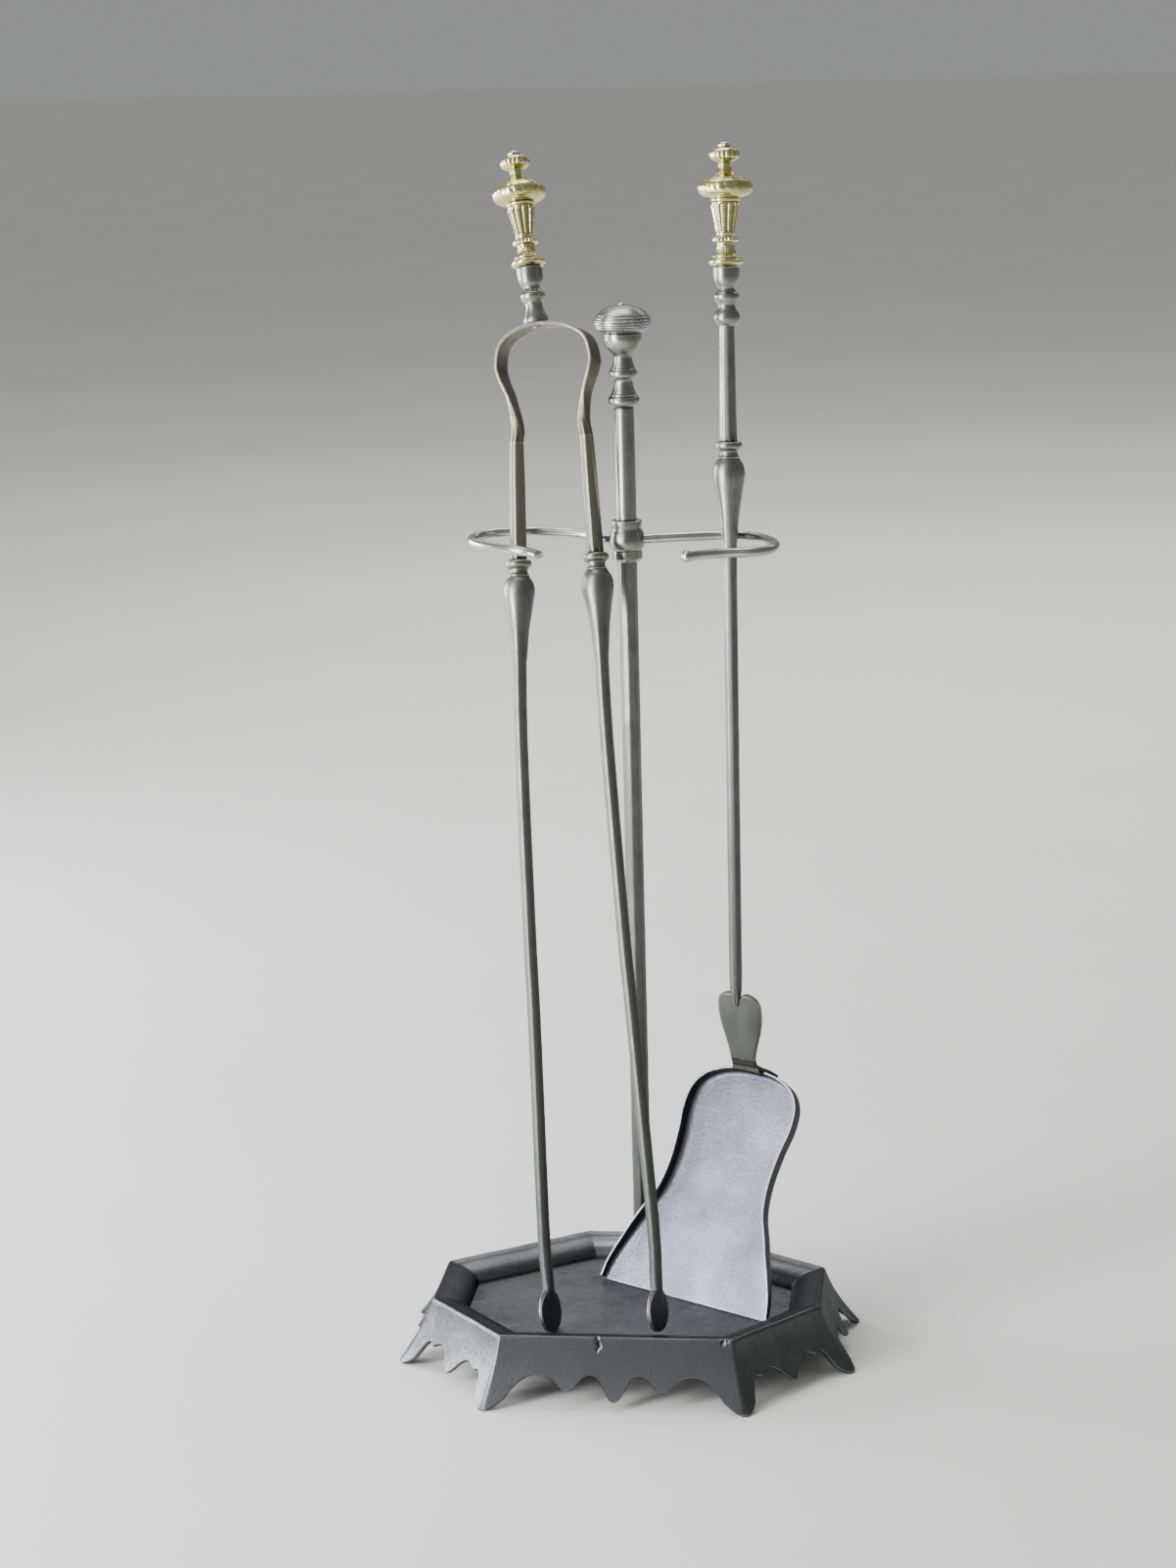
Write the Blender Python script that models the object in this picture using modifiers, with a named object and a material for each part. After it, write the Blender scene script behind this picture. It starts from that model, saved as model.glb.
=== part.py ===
"""Fireplace tool set: a cast tray base with a turned post and two open hooks, which hold
a pair of spring tongs and a small shovel. Both tools have turned brass handles.

Metres, +Z up, +Y away from the front. Every sub-part is its own object.
"""

import math

import bmesh
import bpy
from mathutils import Matrix, Vector

# ---------------------------------------------------------------- driving dimensions

GAP = 0.0003                    # clearance between pieces that touch
BASE_CENTRE = Vector((0, -0.01725, 0))

# cast base: an eight-sided rim, its skirt and its feet
FRONT_HALF = 0.0698             # half the front edge of the rim
SIDE_HALF = 0.1192              # half the width of the rim
BACK_HALF = 0.0363              # half the back edge
FRONT_RUN = 0.0572              # depth of the front diagonals
SIDE_RUN = 0.0642               # depth of the straight sides
BACK_RUN = 0.0580               # depth of the back diagonals
RIM_HEIGHT = 0.0400
SKIRT_FLARE = 0.0212            # how far the feet stand out beyond the rim
SKIRT_WALL = 0.0032
ROLL_WIDTH = 0.0200             # the rounded moulding inside the rim
ROLL_TOE = 0.0290
LEDGE_REACH = 0.0270            # inner edge of the ledge that carries the tray floor
LEDGE_TOP = 0.0262
FLOOR_SHEET = 0.0018
FLOOR_TOP = LEDGE_TOP + GAP + FLOOR_SHEET

# post, standing on the back moulding
POST = Vector((0, (FRONT_RUN + SIDE_RUN + BACK_RUN) / 2 - 0.0100, 0))
POST_FOOT = 0.0352
POST_FLAT = 0.0056              # half the width across the flats
TENON_RADIUS = 0.0040
STUD_RADIUS = 0.0029
HUB_HEIGHT = 0.4942
HUB_RADIUS = 0.0111
HUB_BOTTOM = 0.4807
HUB_TOP = 0.5063
CUP_FOOT = 0.6062
CAP_FOOT = 0.6203
CAP_TOP = 0.6376

# tongs: the bow's crown is the point that both legs spring about
TONGS_FOOT = Vector((-0.0100, -0.0605, 0.0323))
TONGS_CROWN = Vector((-0.0517, 0.1046, 0.6240))
TONGS_TURN = math.radians(-8)
BOW_SHEET = 0.0018
BOW_WIDTH = 0.0170
BOW_SKEW = math.radians(9)      # how far the strip is turned from square to the legs
LEG_TOP = {"left": Vector((-0.0213, 0, -0.0720)), "right": Vector((0.0232, 0, -0.0720))}
FOOT_ACROSS = {"left": -0.0319, "right": 0.0336}
HANDLE_SEAT = -0.0041           # the handle stands a little left of the crown
HANDLE_LEAN = math.radians(4.2)
PAD_RADIUS = 0.0125
PAD_HALF_THICKNESS = 0.0016
PAD_TURN = math.radians(-14)
LEG_EXTRA = {"left": 0.0, "right": 0.0018}

# shovel: the shaft leans on its hook, the pan stands on its mouth in the tray
SHOVEL_AT_HOOK = Vector((0.06385, 0.0733, 0.4936))
SHOVEL_AXIS = Vector((-0.0033, 0.0760, 0.9970)).normalized()
SHAFT_TOP = 0.1300              # ferrule seat, above the hook
SHAFT_TIP = -0.2880
PAN_MOUTH = Vector((0.0342, -0.0013, 0.0298))
PAN_TURN = math.radians(-32.4)
PAN_LEAN = math.radians(-32.3)
PAN_SHEET = 0.0012
PAN_WALL = 0.0085
PAN_LENGTH = 0.1480

# turned tool handle, heights above its seat
FERRULE_TOP = 0.0356
BELL_TOP = 0.0540
VASE_TOP = 0.0762
BOWL_TOP = 0.0952
BUTTON_TOP = 0.1110
TANG_RADIUS = 0.0023
TANG_TOP = 0.1040
BORE = TANG_RADIUS + GAP

SIDES = 16                      # facets of a turned piece

# ---------------------------------------------------------------- scene and materials

for old in list(bpy.data.objects):
    bpy.data.objects.remove(old, do_unlink=True)

part_collection = bpy.data.collections.new("fireplace_tool_set")
cutter_collection = bpy.data.collections.new("cutters")
bpy.context.scene.collection.children.link(part_collection)
bpy.context.scene.collection.children.link(cutter_collection)


def make_material(name, colour, roughness, metallic):
    material = bpy.data.materials.new(name)
    material.use_nodes = True
    shader = material.node_tree.nodes["Principled BSDF"]
    shader.inputs["Base Color"].default_value = (*colour, 1)
    shader.inputs["Roughness"].default_value = roughness
    shader.inputs["Metallic"].default_value = metallic
    return material


FINISHES = {
    "cast_iron": ((0.17, 0.18, 0.18), 0.55, 0.9),
    "sheet_iron": ((0.25, 0.26, 0.28), 0.50, 0.9),
    "forged_steel": ((0.26, 0.27, 0.26), 0.40, 1.0),
    "bow_steel": ((0.24, 0.23, 0.19), 0.42, 1.0),
    "pan_steel": ((0.62, 0.64, 0.68), 0.48, 0.9),
    "brass": ((0.83, 0.74, 0.52), 0.22, 1.0),
}


def dress(thing, name, finish, parent=None):
    """Name an object, give it its own material and put it under its frame."""
    thing.name = name
    thing.data.name = name
    colour, roughness, metallic = FINISHES[finish]
    thing.data.materials.append(make_material(name, colour, roughness, metallic))
    part_collection.objects.link(thing)
    thing.parent = parent
    return thing


def frame_empty(name, matrix, parent=None):
    empty = bpy.data.objects.new(name, None)
    empty.empty_display_size = 0.02
    part_collection.objects.link(empty)
    empty.parent = parent
    empty.matrix_local = matrix
    return empty


def axes_matrix(origin, up, across):
    """A frame at origin with Z along up and X as near to across as it can be."""
    z_axis = up.normalized()
    x_axis = (across - z_axis * across.dot(z_axis)).normalized()
    y_axis = z_axis.cross(x_axis)
    rotation = Matrix((x_axis, y_axis, z_axis)).transposed()
    return Matrix.Translation(origin) @ rotation.to_4x4()


stand = frame_empty("stand_frame", Matrix.Translation(BASE_CENTRE))

# ---------------------------------------------------------------- shaping helpers


def smooth_shade(mesh, angle=40):
    mesh.shade_smooth()
    mesh.set_sharp_from_angle(angle=math.radians(angle))


def finish_mesh(bm, name):
    bmesh.ops.recalc_face_normals(bm, faces=bm.faces)
    mesh = bpy.data.meshes.new(name)
    bm.to_mesh(mesh)
    bm.free()
    return mesh


def turned_mesh(name, profile, sides=SIDES, bore=0.0):
    """Spin a profile of (radius, height) points, top to bottom, with a Screw modifier."""
    points = [(radius, 0, height) for radius, height in profile]
    edges = [(i, i + 1) for i in range(len(points) - 1)]
    if bore:
        points += [(bore, 0, profile[-1][1]), (bore, 0, profile[0][1])]
        edges = [(i, (i + 1) % len(points)) for i in range(len(points))]
    mesh = bpy.data.meshes.new(name)
    mesh.from_pydata(points, edges, [])
    spun = bpy.data.objects.new(name, mesh)
    bpy.context.scene.collection.objects.link(spun)
    screw = spun.modifiers.new("turn", "SCREW")
    screw.axis = "Z"
    screw.steps = sides
    screw.render_steps = sides
    screw.use_merge_vertices = True
    screw.merge_threshold = 0.00001
    screw.use_smooth_shade = True
    return evaluated_mesh(spun, name)


def evaluated_mesh(thing, name):
    """The object's shape with its modifiers applied, welded shut; the object goes away."""
    bpy.context.view_layer.update()
    graph = bpy.context.evaluated_depsgraph_get()
    mesh = bpy.data.meshes.new_from_object(thing.evaluated_get(graph))
    bpy.data.objects.remove(thing, do_unlink=True)
    bm = bmesh.new()
    bm.from_mesh(mesh)
    bmesh.ops.remove_doubles(bm, verts=bm.verts, dist=0.00001)
    bpy.data.meshes.remove(mesh)
    mesh = finish_mesh(bm, name)
    smooth_shade(mesh)
    return mesh


def turned(name, finish, profile, parent, sides=SIDES, bore=0.0):
    mesh = turned_mesh(name, profile, sides, bore)
    return dress(bpy.data.objects.new(name, mesh), name, finish, parent)


def plate_mesh(name, outline, thickness):
    """A flat outline in XY as a filled 2D curve, thickness shared above and below."""
    curve = bpy.data.curves.new(name, "CURVE")
    curve.dimensions = "2D"
    curve.fill_mode = "BOTH"
    curve.extrude = thickness / 2
    spline = curve.splines.new("POLY")
    spline.points.add(len(outline) - 1)
    for point, (x, y) in zip(spline.points, outline):
        point.co = (x, y, 0, 1)
    spline.use_cyclic_u = True
    flat = bpy.data.objects.new(name, curve)
    bpy.context.scene.collection.objects.link(flat)
    return evaluated_mesh(flat, name)


def loft_mesh(name, rings, closed=False):
    """Skin equal rings of points in order. An open loft is capped at both ends."""
    bm = bmesh.new()
    loops = [[bm.verts.new(point) for point in ring] for ring in rings]
    count = len(loops[0])
    pairs = list(zip(loops, loops[1:]))
    if closed:
        pairs.append((loops[-1], loops[0]))
    for first, second in pairs:
        for i in range(count):
            j = (i + 1) % count
            bm.faces.new((first[i], first[j], second[j], second[i]))
    if not closed:
        bm.faces.new(loops[0])
        bm.faces.new(loops[-1])
    return finish_mesh(bm, name)


def smooth_path(knots, steps):
    """Points along a smooth curve through the knots, with steps points per span."""
    knots = [Vector(knot) for knot in knots]
    ends = [knots[0] * 2 - knots[1]] + knots + [knots[-1] * 2 - knots[-2]]
    path = []
    for before, start, end, after in zip(ends, ends[1:], ends[2:], ends[3:]):
        for i in range(steps):
            t = i / steps
            bend = (end - before) * t + (before * 2 - start * 5 + end * 4 - after) * t**2
            bend += (start * 3 - before - end * 3 + after) * t**3
            path.append(start + bend / 2)
    return path + [knots[-1]]


def bar_ring(height, radius, faceted, turn=0.0, count=16):
    """A ring across a forged bar: round, or eight flats at that distance."""
    ring = []
    for i in range(count):
        angle = 2 * math.pi * i / count
        off_flat = (angle + math.pi / 8) % (math.pi / 4) - math.pi / 8
        reach = radius / math.cos(off_flat) if faceted else radius
        spot = angle + turn
        ring.append((reach * math.cos(spot), reach * math.sin(spot), height))
    return ring


def cut(target, cutters, operation="DIFFERENCE"):
    """Boolean modifiers that stay on the target, one for each cutter."""
    for cutter in cutters:
        for home in list(cutter.users_collection):
            home.objects.unlink(cutter)
        cutter_collection.objects.link(cutter)
        cutter.hide_render = True
        cutter.display_type = "WIRE"
        modifier = target.modifiers.new(cutter.name, "BOOLEAN")
        modifier.operation = operation
        modifier.solver = "EXACT"
        modifier.object = cutter


def round_cutter(name, radius, low, high, matrix, parent, top_radius=None, sides=16):
    bm = bmesh.new()
    bmesh.ops.create_cone(
        bm,
        cap_ends=True,
        segments=sides,
        radius1=radius,
        radius2=top_radius or radius,
        depth=high - low,
        matrix=Matrix.Translation((0, 0, (high + low) / 2)),
    )
    cutter = bpy.data.objects.new(name, finish_mesh(bm, name))
    cutter_collection.objects.link(cutter)
    cutter.parent = parent
    cutter.matrix_local = matrix
    return cutter


# ---------------------------------------------------------------- cast base


def rim_outline(offset):
    """The rim's eight corners, moved outwards by offset with true mitres."""
    front = -(FRONT_RUN + SIDE_RUN + BACK_RUN) / 2
    side_front = front + FRONT_RUN
    side_back = side_front + SIDE_RUN
    right = [(FRONT_HALF, front), (SIDE_HALF, side_front), (SIDE_HALF, side_back)]
    right.append((BACK_HALF, -front))
    left = [(-x, y) for x, y in reversed(right)]
    corners = [Vector(corner) for corner in right + left]
    moved = []
    for i, corner in enumerate(corners):
        before = (corner - corners[i - 1]).normalized()
        after = (corners[(i + 1) % 8] - corner).normalized()
        mitre = Vector((before.y + after.y, -before.x - after.x)).normalized()
        moved.append(corner + mitre * (offset / mitre.dot(Vector((after.y, -after.x)))))
    return moved


def rim_section():
    """Section of the casting as (offset, height): skirt, ledge, moulding, ridge."""
    land = 0.0022
    skirt_outer = [(0, RIM_HEIGHT), (0.0055, 0.0265), (0.0128, 0.0115), (SKIRT_FLARE, 0)]
    skirt_inner = [(x - SKIRT_WALL, z) for x, z in reversed(skirt_outer[1:])]
    under = [(-0.0020, 0.0345), (-0.0110, 0.0322), (-0.0170, 0.0262), (-0.0175, 0.0235)]
    ledge = [(-LEDGE_REACH, 0.0235), (-LEDGE_REACH, LEDGE_TOP), (-ROLL_WIDTH, LEDGE_TOP)]
    roll = []
    for i in range(7):
        angle = math.radians(90 - 15 * i)
        reach = land + (ROLL_WIDTH - land) * math.sin(angle)
        roll.append((-reach, ROLL_TOE + (RIM_HEIGHT - ROLL_TOE) * math.cos(angle)))
    return skirt_outer + skirt_inner + under + ledge + roll


def scallop_cutter(name, start, end, waves):
    """The wavy opening under one panel. waves holds (share of half length, height)."""
    half = (end - start).length / 2
    outline = [(share * half, height, 0) for share, height in waves]
    wave = smooth_path([(-x, y, 0) for x, y, _ in reversed(outline[1:])] + outline, 5)
    depth = 0.060
    drop = 0.004
    closed = [(point.x, point.y) for point in wave]
    closed += [(wave[-1].x, -drop), (wave[0].x, -drop)]
    cutter = bpy.data.objects.new(name, plate_mesh(name, closed, depth))
    cutter_collection.objects.link(cutter)
    along = Vector((*(end - start).normalized(), 0))
    outward = along.cross(Vector((0, 0, 1)))
    turn = Matrix((along, Vector((0, 0, 1)), outward)).transposed().to_4x4()
    cutter.parent = stand
    cutter.matrix_local = Matrix.Translation((*((start + end) / 2), 0)) @ turn
    return cutter


LONG_WAVES = [
    (0, 0.0055), (0.18, 0.0190), (0.36, 0.0105), (0.60, 0.0178), (0.80, 0.0095), (0.90, -0.004),
]
SHORT_WAVES = [(0, 0.0065), (0.44, 0.0165), (0.74, 0.0090), (0.87, -0.004)]


def build_base():
    rings = []
    for offset, height in rim_section():
        rings.append([(x, y, height) for x, y in rim_outline(offset)])
    mesh = loft_mesh("base_casting", rings, closed=True)
    smooth_shade(mesh, 32)
    casting = dress(bpy.data.objects.new("base_casting", mesh), "base_casting", "cast_iron", stand)

    boss = round_cutter("post_boss", 0.0095, 0.0232, 0.0370, Matrix.Translation(POST), stand)
    cut(casting, [boss], "UNION")
    feet = rim_outline(SKIRT_FLARE)
    cutters = []
    for i in range(8):
        waves = LONG_WAVES if i == 7 else SHORT_WAVES
        cutters.append(scallop_cutter(f"scallop_{i}", feet[i], feet[(i + 1) % 8], waves))
    post_place = Matrix.Translation(POST)
    cutters.append(round_cutter("post_hole", TENON_RADIUS + GAP, 0.010, 0.045, post_place, stand))
    socket_top = RIM_HEIGHT + 0.004
    socket_floor = POST_FOOT - GAP
    cutters.append(round_cutter("post_socket", 0.0064, socket_floor, socket_top, post_place, stand))
    for i, place in enumerate(floor_rivet_places()):
        cutters.append(round_cutter(f"ledge_hole_{i}", 0.0023, 0.020, 0.035, place, stand))
    cut(casting, cutters)


def floor_rivet_places():
    """The middles of the four long sides of the ledge."""
    inset = rim_outline(-(ROLL_WIDTH + LEDGE_REACH) / 2)
    middles = [(inset[i] + inset[(i + 1) % 8]) / 2 for i in (7, 1, 3, 5)]
    return [Matrix.Translation((*middle, 0)) for middle in middles]


def build_tray_floor():
    outline = [(x, y) for x, y in rim_outline(-ROLL_WIDTH - GAP)]
    mesh = plate_mesh("tray_floor", outline, FLOOR_SHEET)
    mesh.transform(Matrix.Translation((0, 0, FLOOR_TOP - FLOOR_SHEET / 2)))
    sheet = dress(bpy.data.objects.new("tray_floor", mesh), "tray_floor", "sheet_iron", stand)
    cutters = []
    head = 0.0034
    shank = 0.0020
    for i, place in enumerate(floor_rivet_places()):
        cutters.append(round_cutter(f"floor_hole_{i}", shank + GAP, 0.020, 0.035, place, stand))
        cutters.append(
            round_cutter(
                f"floor_sink_{i}", shank + GAP, FLOOR_TOP - 0.0012, FLOOR_TOP + 0.0004,
                place, stand, top_radius=head + 0.0009,
            )
        )
        profile = [
            (0, FLOOR_TOP), (head, FLOOR_TOP), (shank, FLOOR_TOP - 0.0012), (shank, 0.0232),
            (0.0036, 0.0232), (0.0030, 0.0216), (0, 0.0210),
        ]
        rivet = turned(f"floor_rivet_{i + 1}", "cast_iron", profile, stand, sides=12)
        rivet.matrix_local = place
    cut(sheet, cutters)


# ---------------------------------------------------------------- post and hooks


def build_post():
    flat = POST_FLAT
    stations = [
        (0.0120, TENON_RADIUS, False), (POST_FOOT, TENON_RADIUS, False),
        (POST_FOOT, flat, True), (HUB_BOTTOM - GAP, flat, True),
        (HUB_BOTTOM - GAP, STUD_RADIUS, False), (HUB_TOP + 0.0140, STUD_RADIUS, False),
    ]
    rings = [bar_ring(z, radius, faceted, math.pi / 8) for z, radius, faceted in stations]
    mesh = loft_mesh("lower_post", rings)
    smooth_shade(mesh, 30)
    post = dress(bpy.data.objects.new("lower_post", mesh), "lower_post", "forged_steel", stand)
    post.location = POST

    bore = TENON_RADIUS + GAP
    washer = turned(
        "post_washer", "forged_steel", [(0.0080, 0.0229), (0.0080, 0.0213)], stand, bore=bore
    )
    washer.location = POST
    nut = turned(
        "post_nut", "forged_steel",
        [(0, 0.0210), (0.0068, 0.0210), (0.0073, 0.0205), (0.0073, 0.0151), (0.0068, 0.0146)]
        + [(0, 0.0146)],
        stand, sides=6,
    )
    nut.location = POST
    cut(nut, [round_cutter("nut_hole", bore, 0.0120, 0.0240, Matrix.Translation(POST), stand)])

    build_hub()
    build_upper_post()


def build_hub():
    ball = []
    for i in range(9):
        angle = math.radians(64 - 16 * i)
        ball.append((HUB_RADIUS * math.cos(angle), HUB_HEIGHT + HUB_RADIUS * 0.62 * math.sin(angle)))
    profile = [(0.0070, HUB_TOP), (0.0094, HUB_TOP - 0.0012), (0.0092, HUB_TOP - 0.0055)]
    profile += ball[1:-1]
    profile += [(0.0090, HUB_BOTTOM + 0.0062), (0.0092, HUB_BOTTOM + 0.0016), (0.0072, HUB_BOTTOM)]
    hub = turned("hub", "forged_steel", profile, stand, bore=STUD_RADIUS + GAP)
    hub.location = POST
    sideways = Matrix.Translation(POST + Vector((0, 0, HUB_HEIGHT)))
    holes = []
    for name, turn in (("left_arm_hole", -90), ("right_arm_hole", 90)):
        matrix = sideways @ Matrix.Rotation(math.radians(turn), 4, "Y")
        holes.append(round_cutter(name, 0.0031, 0.0056, 0.0140, matrix, stand))
    cut(hub, holes)


def build_upper_post():
    shaft = 0.0063
    profile = [(0, 0.6266), (0.0024, 0.6266), (0.0024, CUP_FOOT - GAP), (0.0056, CUP_FOOT - GAP)]
    profile += bead(0.5985, 0.0056, 0.0084, 0.0030)
    profile += [(0.0059, 0.5925)]
    profile += bead(0.5832, 0.0064, 0.0092, 0.0044)
    profile += [(0.0062, 0.5770), (shaft, 0.5200), (shaft, HUB_TOP + GAP), (0, HUB_TOP + GAP)]
    upper = turned("upper_post", "forged_steel", profile, stand)
    upper.location = POST
    blind = Matrix.Translation(POST)
    radius = STUD_RADIUS + GAP
    cut(upper, [round_cutter("stud_hole", radius, HUB_TOP - 0.004, HUB_TOP + 0.0146, blind, stand)])

    cup = turned(
        "knob_cup", "forged_steel",
        [
            (0.0104, 0.6200), (0.0114, 0.6188), (0.0112, 0.6160), (0.0100, 0.6128),
            (0.0080, 0.6096), (0.0064, 0.6080), (0.0055, CUP_FOOT),
        ],
        stand, bore=0.0027,
    )
    cup.location = POST
    cap = turned(
        "knob_cap", "forged_steel",
        [
            (0, CAP_TOP), (0.0060, CAP_TOP - 0.0003), (0.0110, CAP_TOP - 0.0018),
            (0.0150, CAP_TOP - 0.0046), (0.0166, CAP_TOP - 0.0068), (0.0177, CAP_TOP - 0.0095),
            (0.0180, CAP_TOP - 0.0122), (0.0168, CAP_TOP - 0.0150), (0.0140, CAP_TOP - 0.0163),
            (0.0098, CAP_FOOT), (0, CAP_FOOT),
        ],
        stand, sides=28,
    )
    cap.location = POST
    cut(cap, [
        round_cutter("cap_hole", 0.0027, CAP_FOOT - 0.004, 0.6270, blind, stand),
        round_cutter("nub_hole", 0.0014, CAP_TOP - 0.0050, CAP_TOP + 0.004, blind, stand, sides=12),
    ])
    nub_foot = CAP_TOP + GAP
    nub = turned(
        "knob_nub", "forged_steel",
        [
            (0, nub_foot + 0.0025), (0.0012, nub_foot + 0.0021), (0.0018, nub_foot + 0.0010),
            (0.0015, nub_foot), (0.0011, nub_foot), (0.0011, CAP_TOP - 0.0045),
            (0, CAP_TOP - 0.0045),
        ],
        stand, sides=12,
    )
    nub.location = POST


def bead(height, neck, radius, half):
    """A rounded ring on a turned profile, from its top edge to its bottom edge."""
    points = []
    for i in range(5):
        angle = math.radians(90 - 45 * i)
        reach = neck + (radius - neck) * math.cos(angle)
        points.append((reach, height + half * math.sin(angle)))
    return points


LEFT_HOOK = [
    (-0.0059, 0.0797, 0.4942), (-0.0130, 0.0799, 0.4944), (-0.0280, 0.0850, 0.4968),
    (-0.0480, 0.0888, 0.4978), (-0.0680, 0.0904, 0.4980), (-0.0840, 0.0884, 0.4974),
    (-0.0940, 0.0785, 0.4962), (-0.0940, 0.0675, 0.4952), (-0.0846, 0.0568, 0.4942),
    (-0.0686, 0.0452, 0.4936), (-0.0550, 0.0380, 0.4928), (-0.0485, 0.0322, 0.4920),
]
RIGHT_HOOK = [
    (0.0059, 0.0797, 0.4942), (0.0130, 0.0797, 0.4943), (0.0280, 0.0802, 0.4950),
    (0.0460, 0.0812, 0.4955), (0.0600, 0.0815, 0.4958), (0.0720, 0.0790, 0.4958),
    (0.0835, 0.0690, 0.4955), (0.0910, 0.0530, 0.4955), (0.0935, 0.0380, 0.4955),
    (0.0900, 0.0252, 0.4950), (0.0800, 0.0188, 0.4948), (0.0660, 0.0176, 0.4946),
    (0.0515, 0.0112, 0.4946), (0.0405, 0.0036, 0.4944),
]


def build_hook(name, knots):
    """A bar forged down to a thin tip and bent round to an open loop."""
    path = smooth_path(knots, 3)
    curve = bpy.data.curves.new(name, "CURVE")
    curve.dimensions = "3D"
    curve.bevel_depth = 0.0027
    curve.bevel_resolution = 2
    curve.use_fill_caps = True
    spline = curve.splines.new("POLY")
    spline.points.add(len(path) - 1)
    for i, (point, place) in enumerate(zip(spline.points, path)):
        point.co = (*place, 1)
        point.radius = 1 - 0.28 * i / len(path)
    tube = bpy.data.objects.new(name, curve)
    bpy.context.scene.collection.objects.link(tube)
    mesh = evaluated_mesh(tube, name)
    dress(bpy.data.objects.new(name, mesh), name, "forged_steel", stand)


# ---------------------------------------------------------------- turned tool handles


def build_handle(tool, seat):
    """Ferrule and four brass turnings, threaded over the tang above the seat."""
    turned(
        f"{tool}_ferrule", "forged_steel",
        [(0.0062, FERRULE_TOP), (0.0081, FERRULE_TOP - 0.0010), (0.0081, 0.0268), (0.0062, 0.0250)]
        + [(0.0050, 0.0235)] + bead(0.0178, 0.0052, 0.0078, 0.0042) + [(0.0054, 0.0125)]
        + bead(0.0052, 0.0056, 0.0080, 0.0044) + [(0.0052, GAP)],
        seat, bore=BORE,
    )
    turned(
        f"{tool}_bell", "brass",
        [(0.0062, BELL_TOP), (0.0080, BELL_TOP - 0.0014), (0.0080, BELL_TOP - 0.0030)]
        + [(0.0056, BELL_TOP - 0.0044), (0.0054, 0.0476), (0.0062, 0.0440), (0.0080, 0.0418)]
        + [(0.0103, 0.0412), (0.0106, 0.0388), (0.0103, 0.0364), (0.0078, FERRULE_TOP + GAP)],
        seat, bore=BORE,
    )
    turned(
        f"{tool}_vase", "brass",
        [(0.0084, VASE_TOP), (0.0082, 0.0715), (0.0068, 0.0640), (0.0056, 0.0565)]
        + [(0.0054, BELL_TOP + GAP)],
        seat, bore=BORE,
    )
    turned(
        f"{tool}_bowl", "brass",
        [(0.0042, BOWL_TOP), (0.0060, 0.0930), (0.0118, 0.0910), (0.0160, 0.0890)]
        + [(0.0168, 0.0872), (0.0168, 0.0802), (0.0160, 0.0782), (0.0125, 0.0770)]
        + [(0.0092, VASE_TOP + GAP)],
        seat, bore=BORE,
    )
    button = turned(
        f"{tool}_button", "brass",
        [(0, BUTTON_TOP), (0.0022, 0.1102), (0.0028, 0.1085), (0.0024, 0.1068), (0.0060, 0.1058)]
        + [(0.0086, 0.1040), (0.0091, 0.1018), (0.0084, 0.0998), (0.0050, 0.0984)]
        + [(0.0040, BOWL_TOP + GAP), (0, BOWL_TOP + GAP)],
        seat,
    )
    hole = round_cutter(f"{tool}_blind_hole", BORE, 0.0900, TANG_TOP + GAP, Matrix(), seat)
    cut(button, [hole])


def knot_stations(top, before, after):
    """Collar ring, fine ring and long drop on a forged bar, going down from top."""
    shape = [
        (0.0000, before), (0.0006, 0.0070), (0.0026, 0.0081), (0.0048, 0.0079), (0.0066, 0.0062),
        (0.0080, 0.0049), (0.0098, 0.0050), (0.0112, 0.0060), (0.0126, 0.0062), (0.0140, 0.0058),
        (0.0166, 0.0078), (0.0200, 0.0094), (0.0234, 0.0098), (0.0280, 0.0094), (0.0350, 0.0079),
        (0.0430, 0.0064), (0.0520, 0.0054), (0.0640, after),
    ]
    return [(top - drop, radius, False) for drop, radius in shape]


# ---------------------------------------------------------------- tongs


# centre line of the bow as (across, down) from the crown, left leg to right leg
BOW_LINE = [
    (-0.0213, 0.0705), (-0.0196, 0.0620), (-0.0225, 0.0440), (-0.0269, 0.0315),
    (-0.0282, 0.0225), (-0.0246, 0.0100), (-0.0132, 0.0024), (0.0013, 0.0000),
    (0.0162, 0.0024), (0.0278, 0.0100), (0.0314, 0.0225), (0.0299, 0.0315),
    (0.0254, 0.0440), (0.0224, 0.0600), (0.0232, 0.0705),
]
# how far each leg bows sideways from a straight line, by distance below its top
LEG_BEND = {
    "left": [
        (0, 0), (0.094, -0.0025), (0.177, -0.0049), (0.300, -0.0046), (0.358, -0.0039),
        (0.479, -0.0036), (0.515, -0.0022), (0.560, 0),
    ],
    "right": [
        (0, 0), (0.094, -0.0005), (0.177, -0.0024), (0.300, -0.0017), (0.358, -0.0004),
        (0.479, 0.0021), (0.515, 0.0012), (0.560, 0),
    ],
}


def bend_at(side, drop):
    """Sideways offset of a leg at a distance below its top."""
    table = LEG_BEND[side]
    for (low, start), (high, end) in zip(table, table[1:]):
        if low <= drop <= high:
            return start + (end - start) * (drop - low) / (high - low)
    return 0


def ribbon_mesh(name, path, across, widths, thickness):
    """A flat strip along the path. widths are half widths, one for each point."""
    rings = []
    for i, point in enumerate(path):
        ahead = path[min(i + 1, len(path) - 1)] - path[max(i - 1, 0)]
        rise = across.cross(ahead).normalized() * thickness / 2
        side = across * widths[i]
        rings.append([point - side - rise, point + side - rise, point + side + rise,
                      point - side + rise])
    return loft_mesh(name, rings)


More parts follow.
